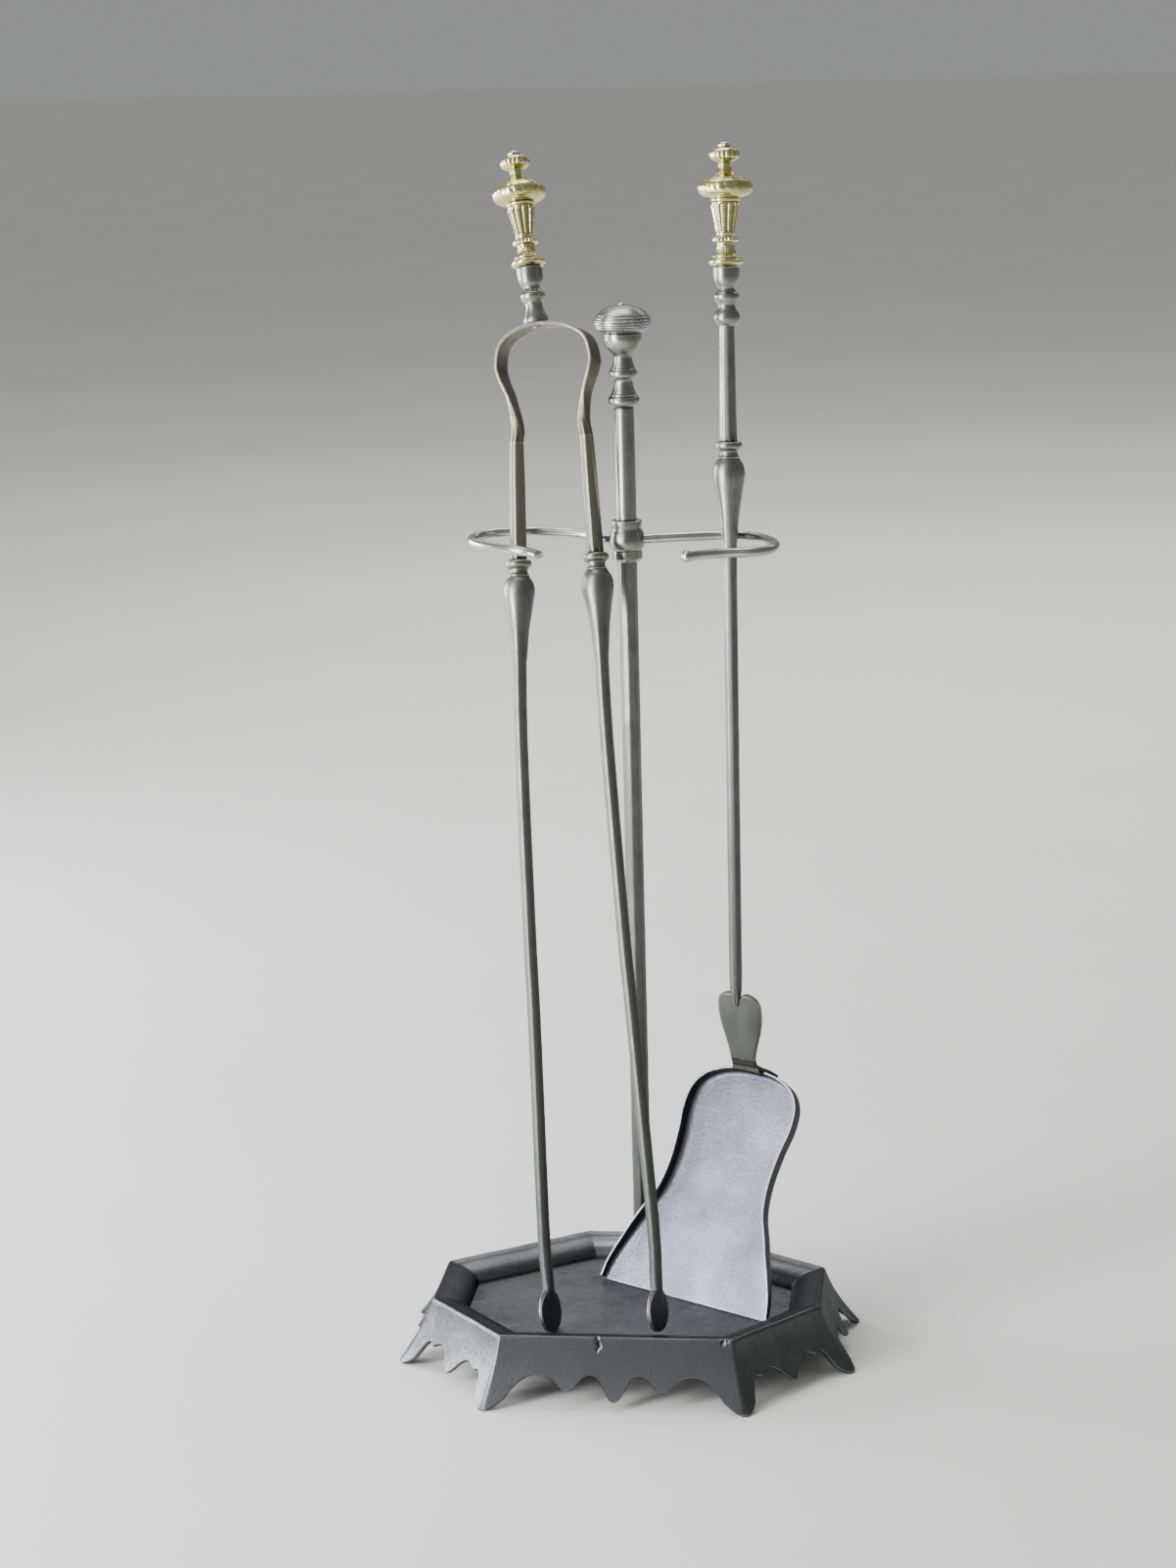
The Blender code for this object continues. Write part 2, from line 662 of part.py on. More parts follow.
def build_bow(tongs):
    path = smooth_path([(x, 0, -drop) for x, drop in BOW_LINE], 3)
    widths = []
    for point in path:
        narrowing = min(1.0, max(0.0, (-point.z - 0.0300) / 0.0320))
        widths.append(BOW_WIDTH / 2 - 0.0040 * narrowing)
    across = Vector((math.sin(BOW_SKEW), math.cos(BOW_SKEW), 0))
    mesh = ribbon_mesh("tongs_bow", path, across, widths, BOW_SHEET)
    smooth_shade(mesh, 30)
    bow = dress(bpy.data.objects.new("tongs_bow", mesh), "tongs_bow", "bow_steel", tongs)
    place = tongs_seat()
    seat = frame_empty("tongs_handle_frame", place, tongs)
    cut(bow, [round_cutter("bow_hole", BORE, -0.006, 0.006, place, tongs)])
    build_handle("tongs", seat)
    head = -BOW_SHEET - GAP - 0.0005
    turned(
        "tongs_tang", "forged_steel",
        [(0, TANG_TOP), (TANG_RADIUS, TANG_TOP), (TANG_RADIUS, head), (0.0042, head)]
        + [(0.0038, head - 0.0014), (0.0022, head - 0.0024), (0, head - 0.0027)],
        seat, sides=16,
    )


def tongs_seat():
    """Where the handle sits on the crown, a little to the left of its top."""
    place = Matrix.Translation((HANDLE_SEAT, 0, BOW_SHEET / 2 - 0.0002))
    return place @ Matrix.Rotation(-HANDLE_LEAN, 4, "Y")


def build_leg(side, tongs):
    """One leg, forged in one piece from the bow down to its round grip pad."""
    crown_to_foot = (TONGS_CROWN - TONGS_FOOT).length
    top = LEG_TOP[side]
    foot = Vector((FOOT_ACROSS[side], 0, -crown_to_foot - LEG_EXTRA[side]))
    length = (top - foot).length
    stations = [(0, 0.0030, True), (-0.0030, 0.0038, True), (-0.0250, 0.0042, True)]
    stations += [(-0.0560, 0.0047, True), (-0.0710, 0.0049, True)]
    stations += knot_stations(-0.0715, 0.0050, 0.0043)
    stations += [(-0.1770, 0.0041, True), (-0.2400, 0.0041, True), (-0.3000, 0.0040, True)]
    stations += [(-0.3580, 0.0040, True), (-0.4200, 0.0039, True), (-0.4790, 0.0039, True)]
    rings = [bar_ring(z, radius, faceted, math.pi / 8) for z, radius, faceted in stations]
    rings += pad_rings(length)
    rings = [[Vector(spot) for spot in ring] for ring in rings]
    for ring in rings:
        for spot in ring:
            spot.x += bend_at(side, -spot.z)
    mesh = loft_mesh(f"tongs_{side}_leg", rings)
    smooth_shade(mesh, 30)
    leg = bpy.data.objects.new(f"tongs_{side}_leg", mesh)
    dress(leg, f"tongs_{side}_leg", "forged_steel", tongs)
    place = axes_matrix(top, top - foot, Vector((1, 0, 0)))
    mesh.transform(place)


def pad_rings(length):
    """The bar's end flattened to a round pad that stands on its edge."""
    rings = []
    centre = -length + PAD_RADIUS
    turn = Matrix.Rotation(PAD_TURN, 3, "Z")
    levels = [
        (PAD_RADIUS + 0.0035, 0.0036, 0.0036), (PAD_RADIUS - 0.0008, 0.0028, 0.0052),
        (PAD_RADIUS - 0.0030, 0.0022, 0.0082), (PAD_RADIUS * 0.5, PAD_HALF_THICKNESS, 0.0108),
        (0, PAD_HALF_THICKNESS, PAD_RADIUS), (-PAD_RADIUS * 0.5, PAD_HALF_THICKNESS, 0.0108),
        (-PAD_RADIUS * 0.8, PAD_HALF_THICKNESS, 0.0075), (-PAD_RADIUS * 0.96, 0.0015, 0.0034),
        (-PAD_RADIUS, 0.0012, 0.0014),
    ]
    for rise, half_thick, half_wide in levels:
        ring = []
        for i in range(16):
            angle = 2 * math.pi * i / 16 + math.pi / 8
            blunt = 0.5 if rise < PAD_RADIUS - 0.0020 else 1.0
            x = half_thick * math.copysign(abs(math.cos(angle)) ** blunt, math.cos(angle))
            y = half_wide * math.sin(angle)
            ring.append(turn @ Vector((x, y, centre + rise)))
        rings.append(ring)
    return rings


def build_tongs():
    across = Vector((math.cos(TONGS_TURN), math.sin(TONGS_TURN), 0))
    place = axes_matrix(TONGS_CROWN, TONGS_CROWN - TONGS_FOOT, across)
    tongs = frame_empty("tongs_frame", place, stand)
    build_bow(tongs)
    for side in ("left", "right"):
        build_leg(side, tongs)


# ---------------------------------------------------------------- shovel

PAN_HALF_OUTLINE = [
    (0.0635, 0), (0.0602, 0.0150), (0.0480, 0.0450), (0.0405, 0.0620), (0.0377, 0.0800),
    (0.0385, 0.1000), (0.0408, 0.1170), (0.0394, 0.1305), (0.0330, 0.1398), (0.0225, 0.1452),
    (0.0110, 0.1476), (0, PAN_LENGTH),
]


def pan_outline():
    """The pan's edge from the right mouth corner, over the back, to the left one."""
    right = smooth_path([(x, y, 0) for x, y in PAN_HALF_OUTLINE], 2)
    return right + [Vector((-p.x, p.y, 0)) for p in reversed(right[:-1])]


def pan_mesh():
    outline = pan_outline()
    inward = []
    for i, point in enumerate(outline):
        ahead = outline[min(i + 1, len(outline) - 1)] - outline[max(i - 1, 0)]
        inward.append(Vector((-ahead.y, ahead.x, 0)).normalized())
    bm = bmesh.new()
    rows = []
    for inset, rise in ((0.0040, 0), (0.0014, 0.0008), (0.0003, 0.0026), (0, 1.0)):
        row = []
        for point, side in zip(outline, inward):
            wall = 0.0050 + (PAN_WALL - 0.0050) * min(1.0, point.y / 0.038)
            row.append(bm.verts.new(point + side * inset + Vector((0, 0, min(rise, wall)))))
        rows.append(row)
    for first, second in zip(rows, rows[1:]):
        for i in range(len(first) - 1):
            bm.faces.new((first[i], first[i + 1], second[i + 1], second[i]))
    bm.faces.new(rows[0])
    bmesh.ops.recalc_face_normals(bm, faces=bm.faces)
    mesh = bpy.data.meshes.new("shovel_pan")
    bm.to_mesh(mesh)
    bm.free()
    return mesh


def build_pan():
    turn = Matrix.Rotation(PAN_TURN, 4, "Z") @ Matrix.Rotation(PAN_LEAN, 4, "X")
    upright = Matrix.Rotation(math.radians(90), 4, "X")
    place = Matrix.Translation(PAN_MOUTH) @ turn @ upright
    frame = frame_empty("pan_frame", place, stand)
    pan = dress(
        bpy.data.objects.new("shovel_pan", pan_mesh()), "shovel_pan", "pan_steel", frame
    )
    solid = pan.modifiers.new("sheet", "SOLIDIFY")
    solid.thickness = PAN_SHEET
    solid.offset = 1
    solid.use_even_offset = True
    smooth_shade(pan.data, 35)
    build_leaf(frame, place.inverted(), pan)


def build_leaf(frame, into_pan, pan):
    """The heart-shaped leaf that joins the shaft to the back wall of the pan."""
    wall_top = PAN_LENGTH + PAN_SHEET
    half_sheet = 0.0014
    seat = wall_top + GAP + half_sheet
    lobe_top = into_pan @ (SHOVEL_AT_HOOK + SHOVEL_AXIS * (SHAFT_TIP + 0.0065))
    bend = Vector((-0.0042, seat, PAN_WALL + 0.0030))
    heel = Vector((-0.0042, seat, -0.0006))
    top = lobe_top + Vector((0.0022, 0, 0))
    shape = [(0, 0.0126), (0.08, 0.0138), (0.20, 0.0142), (0.34, 0.0131), (0.50, 0.0105),
             (0.66, 0.0082), (0.80, 0.0076), (0.92, 0.0092)]
    path = [top.lerp(bend, share) for share, _ in shape]
    widths = [half for _, half in shape]
    path += [bend, heel]
    widths += [0.0112, 0.0122]
    mesh = ribbon_mesh("shovel_leaf", path, Vector((1, 0, 0)), widths, half_sheet * 2)
    smooth_shade(mesh, 30)
    leaf = dress(bpy.data.objects.new("shovel_leaf", mesh), "shovel_leaf", "forged_steel", frame)
    down = (bend - top).normalized()
    notch_place = axes_matrix(lobe_top, down, Vector((1, 0, 0)))
    notch = plate_mesh("leaf_notch", [(-0.0058, -0.004), (0, 0.0100), (0.0058, -0.004)], 0.012)
    notch.transform(Matrix.Rotation(math.radians(90), 4, "X"))
    cutter = bpy.data.objects.new("leaf_notch", notch)
    cutter_collection.objects.link(cutter)
    cutter.parent = frame
    cutter.matrix_local = notch_place
    cut(leaf, [cutter])
    for side, x in (("left", -0.0104), ("right", 0.0020)):
        add_leaf_rivet(side, x, frame, pan, leaf, seat + half_sheet)


def add_leaf_rivet(side, x, frame, pan, leaf, outer):
    """A round-headed rivet through the leaf's heel and the pan's back wall."""
    place = Matrix.Translation((x, 0, 0.0048)) @ Matrix.Rotation(math.radians(-90), 4, "X")
    shank = 0.0013
    head = 0.0025
    inner = PAN_LENGTH - 0.0009
    rivet = turned(
        f"leaf_rivet_{side}", "forged_steel",
        [(0, outer + GAP + 0.0012), (0.0016, outer + GAP + 0.0009), (head, outer + GAP)]
        + [(shank, outer + GAP), (shank, inner), (head, inner)]
        + [(0.0016, inner - 0.0009), (0, inner - 0.0012)],
        frame, sides=12,
    )
    rivet.matrix_local = place
    for target in (pan, leaf):
        name = f"{target.name}_hole_{side}"
        cut(target, [round_cutter(name, shank + GAP, 0.140, 0.160, place, frame, sides=12)])


def build_shovel():
    across = Vector((math.cos(PAN_TURN), math.sin(PAN_TURN), 0))
    place = axes_matrix(SHOVEL_AT_HOOK, SHOVEL_AXIS, across)
    shovel = frame_empty("shovel_frame", place, stand)
    stations = [(SHAFT_TOP + TANG_TOP, TANG_RADIUS, False), (SHAFT_TOP, TANG_RADIUS, False)]
    stations += [(SHAFT_TOP, 0.0044, True), (0.0616, 0.0051, True)]
    stations += knot_stations(0.0610, 0.0052, 0.0043)
    stations += [(-0.0300, 0.0041, True), (-0.1500, 0.0040, True)]
    stations += [(SHAFT_TIP + 0.0140, 0.0039, True), (SHAFT_TIP + 0.0060, 0.0028, True)]
    stations += [(SHAFT_TIP, 0.0008, True)]
    rings = [bar_ring(z, radius, faceted, math.pi / 8) for z, radius, faceted in stations]
    mesh = loft_mesh("shovel_shaft", rings)
    smooth_shade(mesh, 30)
    dress(bpy.data.objects.new("shovel_shaft", mesh), "shovel_shaft", "forged_steel", shovel)
    seat = frame_empty("shovel_handle_frame", Matrix.Translation((0, 0, SHAFT_TOP)), shovel)
    build_handle("shovel", seat)
    build_pan()


# ---------------------------------------------------------------- the whole set

build_base()
build_tray_floor()
build_post()
build_hook("left_hook", LEFT_HOOK)
build_hook("right_hook", RIGHT_HOOK)
build_tongs()
build_shovel()
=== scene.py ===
"""Fireplace tool set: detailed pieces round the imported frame, at the same real size.

Metres, +Z up, +Y away from the front. The driving dimensions repeat the frame's own.
"""

import math

import bmesh
import bpy
import numpy
from mathutils import Matrix, Vector, noise


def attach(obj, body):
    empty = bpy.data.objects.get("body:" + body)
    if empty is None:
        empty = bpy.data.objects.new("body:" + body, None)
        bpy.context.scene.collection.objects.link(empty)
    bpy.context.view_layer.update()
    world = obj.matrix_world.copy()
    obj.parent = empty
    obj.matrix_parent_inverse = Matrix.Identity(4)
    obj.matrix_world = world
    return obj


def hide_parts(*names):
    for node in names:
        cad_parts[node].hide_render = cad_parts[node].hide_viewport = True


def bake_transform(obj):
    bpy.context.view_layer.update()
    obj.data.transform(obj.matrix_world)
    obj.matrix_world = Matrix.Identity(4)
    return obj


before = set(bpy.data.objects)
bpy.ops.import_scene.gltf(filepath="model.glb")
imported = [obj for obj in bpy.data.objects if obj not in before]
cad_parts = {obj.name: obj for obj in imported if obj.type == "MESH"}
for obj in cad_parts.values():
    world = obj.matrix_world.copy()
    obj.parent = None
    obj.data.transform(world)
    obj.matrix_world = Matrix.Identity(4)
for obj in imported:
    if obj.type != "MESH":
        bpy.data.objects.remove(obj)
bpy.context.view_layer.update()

# ---------------------------------------------------------------- driving dimensions

BASE_CENTRE = Vector((0, -0.01725, 0))
GAP = 0.0003

# cast base
FRONT_HALF = 0.0698
SIDE_HALF = 0.1192
BACK_HALF = 0.0363
FRONT_RUN = 0.0572
SIDE_RUN = 0.0642
BACK_RUN = 0.0580
RIM_HEIGHT = 0.0400
SKIRT_FLARE = 0.0212
SKIRT_WALL = 0.0032
RIDGE_LAND = 0.0022
ROLL_WIDTH = 0.0200
ROLL_TOE = 0.0290
LEDGE_REACH = 0.0270
LEDGE_TOP = 0.0262
LEDGE_UNDER = 0.0235

# post
POST = Vector((0, (FRONT_RUN + SIDE_RUN + BACK_RUN) / 2 - 0.0100, 0))
POST_FOOT = 0.0352
POST_FLAT = 0.0056
TENON_RADIUS = 0.0040
STUD_RADIUS = 0.0029
HUB_BOTTOM = 0.4807
HUB_TOP = 0.5063
CUP_FOOT = 0.6062
CAP_FOOT = 0.6203
CAP_TOP = 0.6376

# tongs
TONGS_FOOT = Vector((-0.0100, -0.0605, 0.0323))
TONGS_CROWN = Vector((-0.0517, 0.1046, 0.6240))
TONGS_TURN = math.radians(-8)
BOW_SHEET = 0.0018
BOW_WIDTH = 0.0170
BOW_SKEW = math.radians(9)
LEG_TOP = {"left": Vector((-0.0213, 0, -0.0720)), "right": Vector((0.0232, 0, -0.0720))}
FOOT_ACROSS = {"left": -0.0319, "right": 0.0336}
LEG_EXTRA = {"left": 0.0, "right": 0.0018}
HANDLE_SEAT = -0.0041
HANDLE_LEAN = math.radians(4.2)
PAD_RADIUS = 0.0125
PAD_HALF_THICKNESS = 0.0016
PAD_TURN = math.radians(-14)

# shovel
SHOVEL_AT_HOOK = Vector((0.06385, 0.0733, 0.4936))
SHOVEL_AXIS = Vector((-0.0033, 0.0760, 0.9970)).normalized()
SHAFT_TOP = 0.1300
SHAFT_TIP = -0.2880
PAN_MOUTH = Vector((0.0342, -0.0013, 0.0298))
PAN_TURN = math.radians(-32.4)
PAN_LEAN = math.radians(-32.3)
PAN_SHEET = 0.0012
PAN_WALL = 0.0085
PAN_LENGTH = 0.1480

# turned handles, heights above the seat
FERRULE_TOP = 0.0356
BELL_TOP = 0.0540
VASE_TOP = 0.0762
BOWL_TOP = 0.0952
TANG_RADIUS = 0.0023
TANG_TOP = 0.1040

EIGHTH = math.pi / 4
FLAT_TURN = math.pi / 8         # the flats of every forged bar stand this far round
BAR_POINTS = 48                 # points round every forged bar, the bow and the pads


# ---------------------------------------------------------------- frames


def axes_matrix(origin, up, across):
    """A frame at origin with Z along up and X as near to across as it can be."""
    z_axis = up.normalized()
    x_axis = (across - z_axis * across.dot(z_axis)).normalized()
    y_axis = z_axis.cross(x_axis)
    rotation = Matrix((x_axis, y_axis, z_axis)).transposed()
    return Matrix.Translation(origin) @ rotation.to_4x4()


def facing(turn):
    return Vector((math.cos(turn), math.sin(turn), 0))


def turns(count):
    """Angles of equal steps once round."""
    return [2 * math.pi * i / count for i in range(count)]


def add_object(name, data):
    made = bpy.data.objects.new(name, data)
    bpy.context.scene.collection.objects.link(made)
    return made


STAND = Matrix.Translation(BASE_CENTRE)
POST_PLACE = STAND @ Matrix.Translation(POST)
TONGS = STAND @ axes_matrix(TONGS_CROWN, TONGS_CROWN - TONGS_FOOT, facing(TONGS_TURN))
TONGS_SEAT = TONGS @ Matrix.Translation((HANDLE_SEAT, 0, BOW_SHEET / 2 - 0.0002))
TONGS_SEAT = TONGS_SEAT @ Matrix.Rotation(-HANDLE_LEAN, 4, "Y")
SHOVEL = STAND @ axes_matrix(SHOVEL_AT_HOOK, SHOVEL_AXIS, facing(PAN_TURN))
SHOVEL_SEAT = SHOVEL @ Matrix.Translation((0, 0, SHAFT_TOP))
PAN = STAND @ Matrix.Translation(PAN_MOUTH) @ Matrix.Rotation(PAN_TURN, 4, "Z")
PAN = PAN @ Matrix.Rotation(PAN_LEAN + math.radians(90), 4, "X")


# ---------------------------------------------------------------- materials


def new_material(name):
    material = bpy.data.materials.new(name)
    material.use_nodes = True
    return material, material.node_tree, material.node_tree.nodes["Principled BSDF"]


def node(tree, kind, **inputs):
    made = tree.nodes.new(kind)
    for name, value in inputs.items():
        made.inputs[name.replace("_", " ")].default_value = value
    return made


def noise_node(tree, coords, scale, detail, roughness=0.6):
    made = node(tree, "ShaderNodeTexNoise", Scale=scale, Detail=detail, Roughness=roughness)
    tree.links.new(coords, made.inputs["Vector"])
    return made.outputs["Fac"]


def remap(tree, value, low, high, start=0.0, end=1.0):
    made = tree.nodes.new("ShaderNodeMapRange")
    tree.links.new(value, made.inputs["Value"])
    for name, number in zip(("From Min", "From Max", "To Min", "To Max"), (low, high, start, end)):
        made.inputs[name].default_value = number
    return made.outputs["Result"]


def math_node(tree, operation, first, second):
    made = tree.nodes.new("ShaderNodeMath")
    made.operation = operation
    for socket, value in zip(made.inputs, (first, second)):
        if isinstance(value, (int, float)):
            socket.default_value = value
        else:
            tree.links.new(value, socket)
    return made.outputs[0]


def plus(tree, value, other, share):
    """value + other * share."""
    return math_node(tree, "ADD", value, math_node(tree, "MULTIPLY", other, share))


def stored_value(tree, name):
    made = tree.nodes.new("ShaderNodeAttribute")
    made.attribute_name = name
    return made.outputs["Fac"]


def along_axis(tree, vector, axis):
    split = tree.nodes.new("ShaderNodeSeparateXYZ")
    tree.links.new(vector, split.inputs[0])
    return split.outputs[axis]


def blend_colours(tree, factor, first, second):
    made = tree.nodes.new("ShaderNodeMix")
    made.data_type = "RGBA"
    tree.links.new(factor, made.inputs["Factor"])
    for socket, value in ((made.inputs["A"], first), (made.inputs["B"], second)):
        if isinstance(value, tuple):
            socket.default_value = (*value, 1)
        else:
            tree.links.new(value, socket)
    return made.outputs["Result"]


def stretched_coords(tree, stretch):
    place = tree.nodes.new("ShaderNodeTexCoord").outputs["Object"]
    mapping = node(tree, "ShaderNodeMapping", Scale=stretch)
    tree.links.new(place, mapping.inputs["Vector"])
    return mapping.outputs["Vector"]


def metal(name, tones, roughness, patch, grain, stretch=(1, 1, 1), bump=0.08, dent=0.0,
          proud=(0.22, 0.75), sunken=(0.04, 0.35), metallic=1.0, edge=1.0, bottom_darkening=None,
          warmed=None, painted_shade_tone=None):
    """A worked metal. tones are sunken, dark, plain and proud colours; proud edges are
    rubbed bright and also carry a painted highlight, and hollows keep their dirt. patch and grain
    are noise scales per metre.
    edge is how much of the light it keeps at a glancing angle.
    The darker-bottom tuple is (colour, low, high): a darker tone towards the bottom, fading out
    between two heights.
    warmed is (colour, low, high): a tint that comes in between two heights.
    The painted shade tone goes where the piece's own stored shade value is 1."""
    material, tree, shader = new_material(name)
    shader.inputs["Metallic"].default_value = metallic
    shader.inputs["Specular Tint"].default_value = (edge, edge, edge, 1)
    coords = stretched_coords(tree, stretch)
    even = stretched_coords(tree, (1, 1, 1))
    patches = noise_node(tree, even, patch, 4)
    fine = noise_node(tree, coords, grain, 5, 0.68)
    relief = stored_value(tree, "relief")
    height = along_axis(tree, even, "Z")

    hollow_tone, dark_tone, plain_tone, proud_tone = tones
    mottle = plus(tree, math_node(tree, "MULTIPLY", patches, 0.6), fine, 0.4)
    colour = blend_colours(tree, remap(tree, mottle, 0.38, 0.62), dark_tone, plain_tone)
    bottom_dark = None
    if warmed:
        tone, low, high = warmed
        colour = blend_colours(tree, remap(tree, height, low, high), colour, tone)
    # darker towards the bottom, fading out between two heights, and rougher there
    if bottom_darkening:
        tone, low, high = bottom_darkening
        bottom_dark = remap(tree, height, low, high, 0.92, 0.0)
        bottom_dark = math_node(tree, "MULTIPLY", bottom_dark, remap(tree, patches, 0.25, 0.55, 0.72, 1.0))
        colour = blend_colours(tree, bottom_dark, colour, tone)
    # painted shade: a near-black tone where the piece stores a shade value
    if painted_shade_tone:
        colour = blend_colours(tree, stored_value(tree, "painted_shade"), colour, painted_shade_tone)
    # proud edges: rubbed bright, and a painted highlight along them
    rub_and_highlight = remap(tree, relief, *proud)
    rub_and_highlight = math_node(tree, "MULTIPLY", rub_and_highlight, remap(tree, fine, 0.35, 0.6, 0.55, 1.0))
    colour = blend_colours(tree, rub_and_highlight, colour, proud_tone)
    dirt = remap(tree, relief, -sunken[0], -sunken[1])
    colour = blend_colours(tree, dirt, colour, hollow_tone)
    tree.links.new(colour, shader.inputs["Base Color"])

    smooth, rough = roughness
    gloss = remap(tree, mottle, 0.35, 0.65, rough, smooth)
    gloss = plus(tree, plus(tree, gloss, rub_and_highlight, -0.10), dirt, 0.18)
    if bottom_dark:
        gloss = plus(tree, gloss, bottom_dark, 0.26)
    tree.links.new(gloss, shader.inputs["Roughness"])

    texture = fine
    if dent:
        texture = plus(tree, fine, noise_node(tree, even, grain / 9, 2, 0.4), dent)
    bumps = node(tree, "ShaderNodeBump", Strength=bump, Distance=0.0006)
    tree.links.new(texture, bumps.inputs["Height"])
    tree.links.new(bumps.outputs["Normal"], shader.inputs["Normal"])
    return material


# the tone that the steel darkens to towards the bottom
BOTTOM_TONE = (0.060, 0.063, 0.062)


def cast_iron():
    return metal(
        "cast_iron",
        ((0.018, 0.019, 0.019), (0.090, 0.097, 0.096), (0.170, 0.179, 0.178), (0.62, 0.63, 0.62)),
        (0.27, 0.42), patch=26, grain=420, bump=0.20, dent=1.4, proud=(0.30, 1.25), edge=0.35,
    )


def sheet_iron():
    return metal(
        "sheet_iron",
        ((0.02, 0.02, 0.02), (0.085, 0.089, 0.095), (0.185, 0.192, 0.200), (0.32, 0.33, 0.34)),
        (0.38, 0.56), patch=34, grain=260, bump=0.20, dent=1.2,
    )


def forged_steel(name="forged_steel", warmed=None):
    return metal(
        name,
        ((0.024, 0.024, 0.021), (0.175, 0.176, 0.160), (0.315, 0.316, 0.290), (0.70, 0.70, 0.66)),
        (0.24, 0.37), patch=55, grain=700, stretch=(1, 1, 0.10), bump=0.13,
        # darker towards the bottom, and a near-black painted shade where a piece stores it
        bottom_darkening=(BOTTOM_TONE, 0.10, 0.62), warmed=warmed, painted_shade_tone=(0.030, 0.030, 0.029),
    )


def leg_steel():
    return forged_steel("leg_steel", ((0.27, 0.26, 0.205), 0.47, 0.56))


def turned_steel():
    return metal(
        "turned_steel",
        ((0.030, 0.031, 0.028), (0.190, 0.192, 0.176), (0.310, 0.312, 0.290), (0.74, 0.74, 0.71)),
        (0.25, 0.36), patch=70, grain=900, stretch=(0.25, 0.25, 1.6), bump=0.09,
        sunken=(0.10, 0.80),
    )


def hook_steel():
    return metal(
        "hook_steel",
        ((0.06, 0.06, 0.055), (0.36, 0.36, 0.34), (0.54, 0.54, 0.52), (0.82, 0.82, 0.80)),
        (0.16, 0.27), patch=60, grain=600,
    )


def bow_steel():
    return metal(
        "bow_steel",
        ((0.02, 0.018, 0.012), (0.085, 0.078, 0.057), (0.160, 0.149, 0.112), (0.62, 0.60, 0.50)),
        (0.30, 0.45), patch=80, grain=600, stretch=(0.4, 1, 0.4), bump=0.14, proud=(0.12, 0.60),
    )


def pan_steel():
    return metal(
        "pan_steel",
        ((0.04, 0.04, 0.043), (0.150, 0.158, 0.184), (0.265, 0.275, 0.315), (0.58, 0.59, 0.62)),
        (0.36, 0.52), patch=20, grain=520, bump=0.70, dent=0.6, metallic=0.9,
        # near-black on the walls and underside: painted dark reflection and shade, partly old soot
        # too
        proud=(0.35, 1.3), sunken=(0.16, 0.60), painted_shade_tone=(0.045, 0.045, 0.047),
    )


def brass():
    return metal(
        "brass",
        ((0.075, 0.062, 0.014), (0.45, 0.405, 0.140), (0.71, 0.660, 0.280), (0.96, 0.94, 0.70)),
        (0.15, 0.26), patch=120, grain=1200, bump=0.06, proud=(0.12, 0.8), sunken=(0.10, 0.80),
    )


MATERIALS = {
    make.__name__: make()
    for make in (cast_iron, sheet_iron, forged_steel, leg_steel, turned_steel, hook_steel,
                 bow_steel, pan_steel, brass)
}

# the record's slot for each material that has no slot of its own name
SLOTS = dict.fromkeys(("leg_steel", "turned_steel", "hook_steel"), "forged_steel")


# ---------------------------------------------------------------- mesh helpers


def smooth_path(knots, steps):
    """Points along a smooth curve through the knots, with steps points per span."""
    knots = [Vector(knot) for knot in knots]
    ends = [knots[0] * 2 - knots[1]] + knots + [knots[-1] * 2 - knots[-2]]
    path = []
    for before, start, end, after in zip(ends, ends[1:], ends[2:], ends[3:]):
        for i in range(steps):
            t = i / steps
            bend = (end - before) * t + (before * 2 - start * 5 + end * 4 - after) * t**2
            bend += (start * 3 - before - end * 3 + after) * t**3
            path.append(start + bend / 2)
    return path + [knots[-1]]


def runs(*parts, steps=5):
    """A profile of smooth runs through (radius, height) points. Each run starts where the
    one before it ended, so that they meet at a corner."""
    profile = []
    for part in parts:
        knots = [(radius, height, 0) for radius, height in profile[-1:] + part]
        for point in smooth_path(knots, steps):
            spot = (max(0.0, point.x), point.y)
            if not profile or math.dist(spot, profile[-1]) > 1e-6:
                profile.append(spot)
    return profile


def path_lengths(path):
    """How far along the path each of its points lies."""
    lengths = [0.0]
    for start, end in zip(path, path[1:]):
        lengths.append(lengths[-1] + (end - start).length)
    return lengths


def ease(value, low, high):
    """0 up to low and 1 from high, with a smooth rise between them."""
    share = min(1.0, max(0.0, (value - low) / (high - low)))
    return share * share * (3 - 2 * share)


def rounded_square(angle, power):
    """How far a rounded square reaches at an angle: power 2 is a circle, more is squarer."""
    return (abs(math.cos(angle)) ** power + abs(math.sin(angle)) ** power) ** (-1 / power)


def skin(rings, loop=False):
    """Faces between equal rings of points. A ring of one point closes an end."""
    vertices = []
    faces = []
    starts = []
    for ring in rings:
        starts.append(len(vertices))
        vertices += ring
    pairs = list(zip(range(len(rings)), range(1, len(rings))))
    if loop:
        pairs.append((len(rings) - 1, 0))
    for first, second in pairs:
        sizes = (len(rings[first]), len(rings[second]))
        for i in range(max(sizes)):
            j = (i + 1) % max(sizes)
            lower = [starts[first] + i % sizes[0], starts[first] + j % sizes[0]]
            upper = [starts[second] + j % sizes[1], starts[second] + i % sizes[1]]
            faces.append(list(dict.fromkeys(lower + upper)))
    if not loop:
        for end in (0, -1):
            if len(rings[end]) > 1:
                faces.append([starts[end] + i for i in range(len(rings[end]))])
    return clean_mesh(vertices, faces)


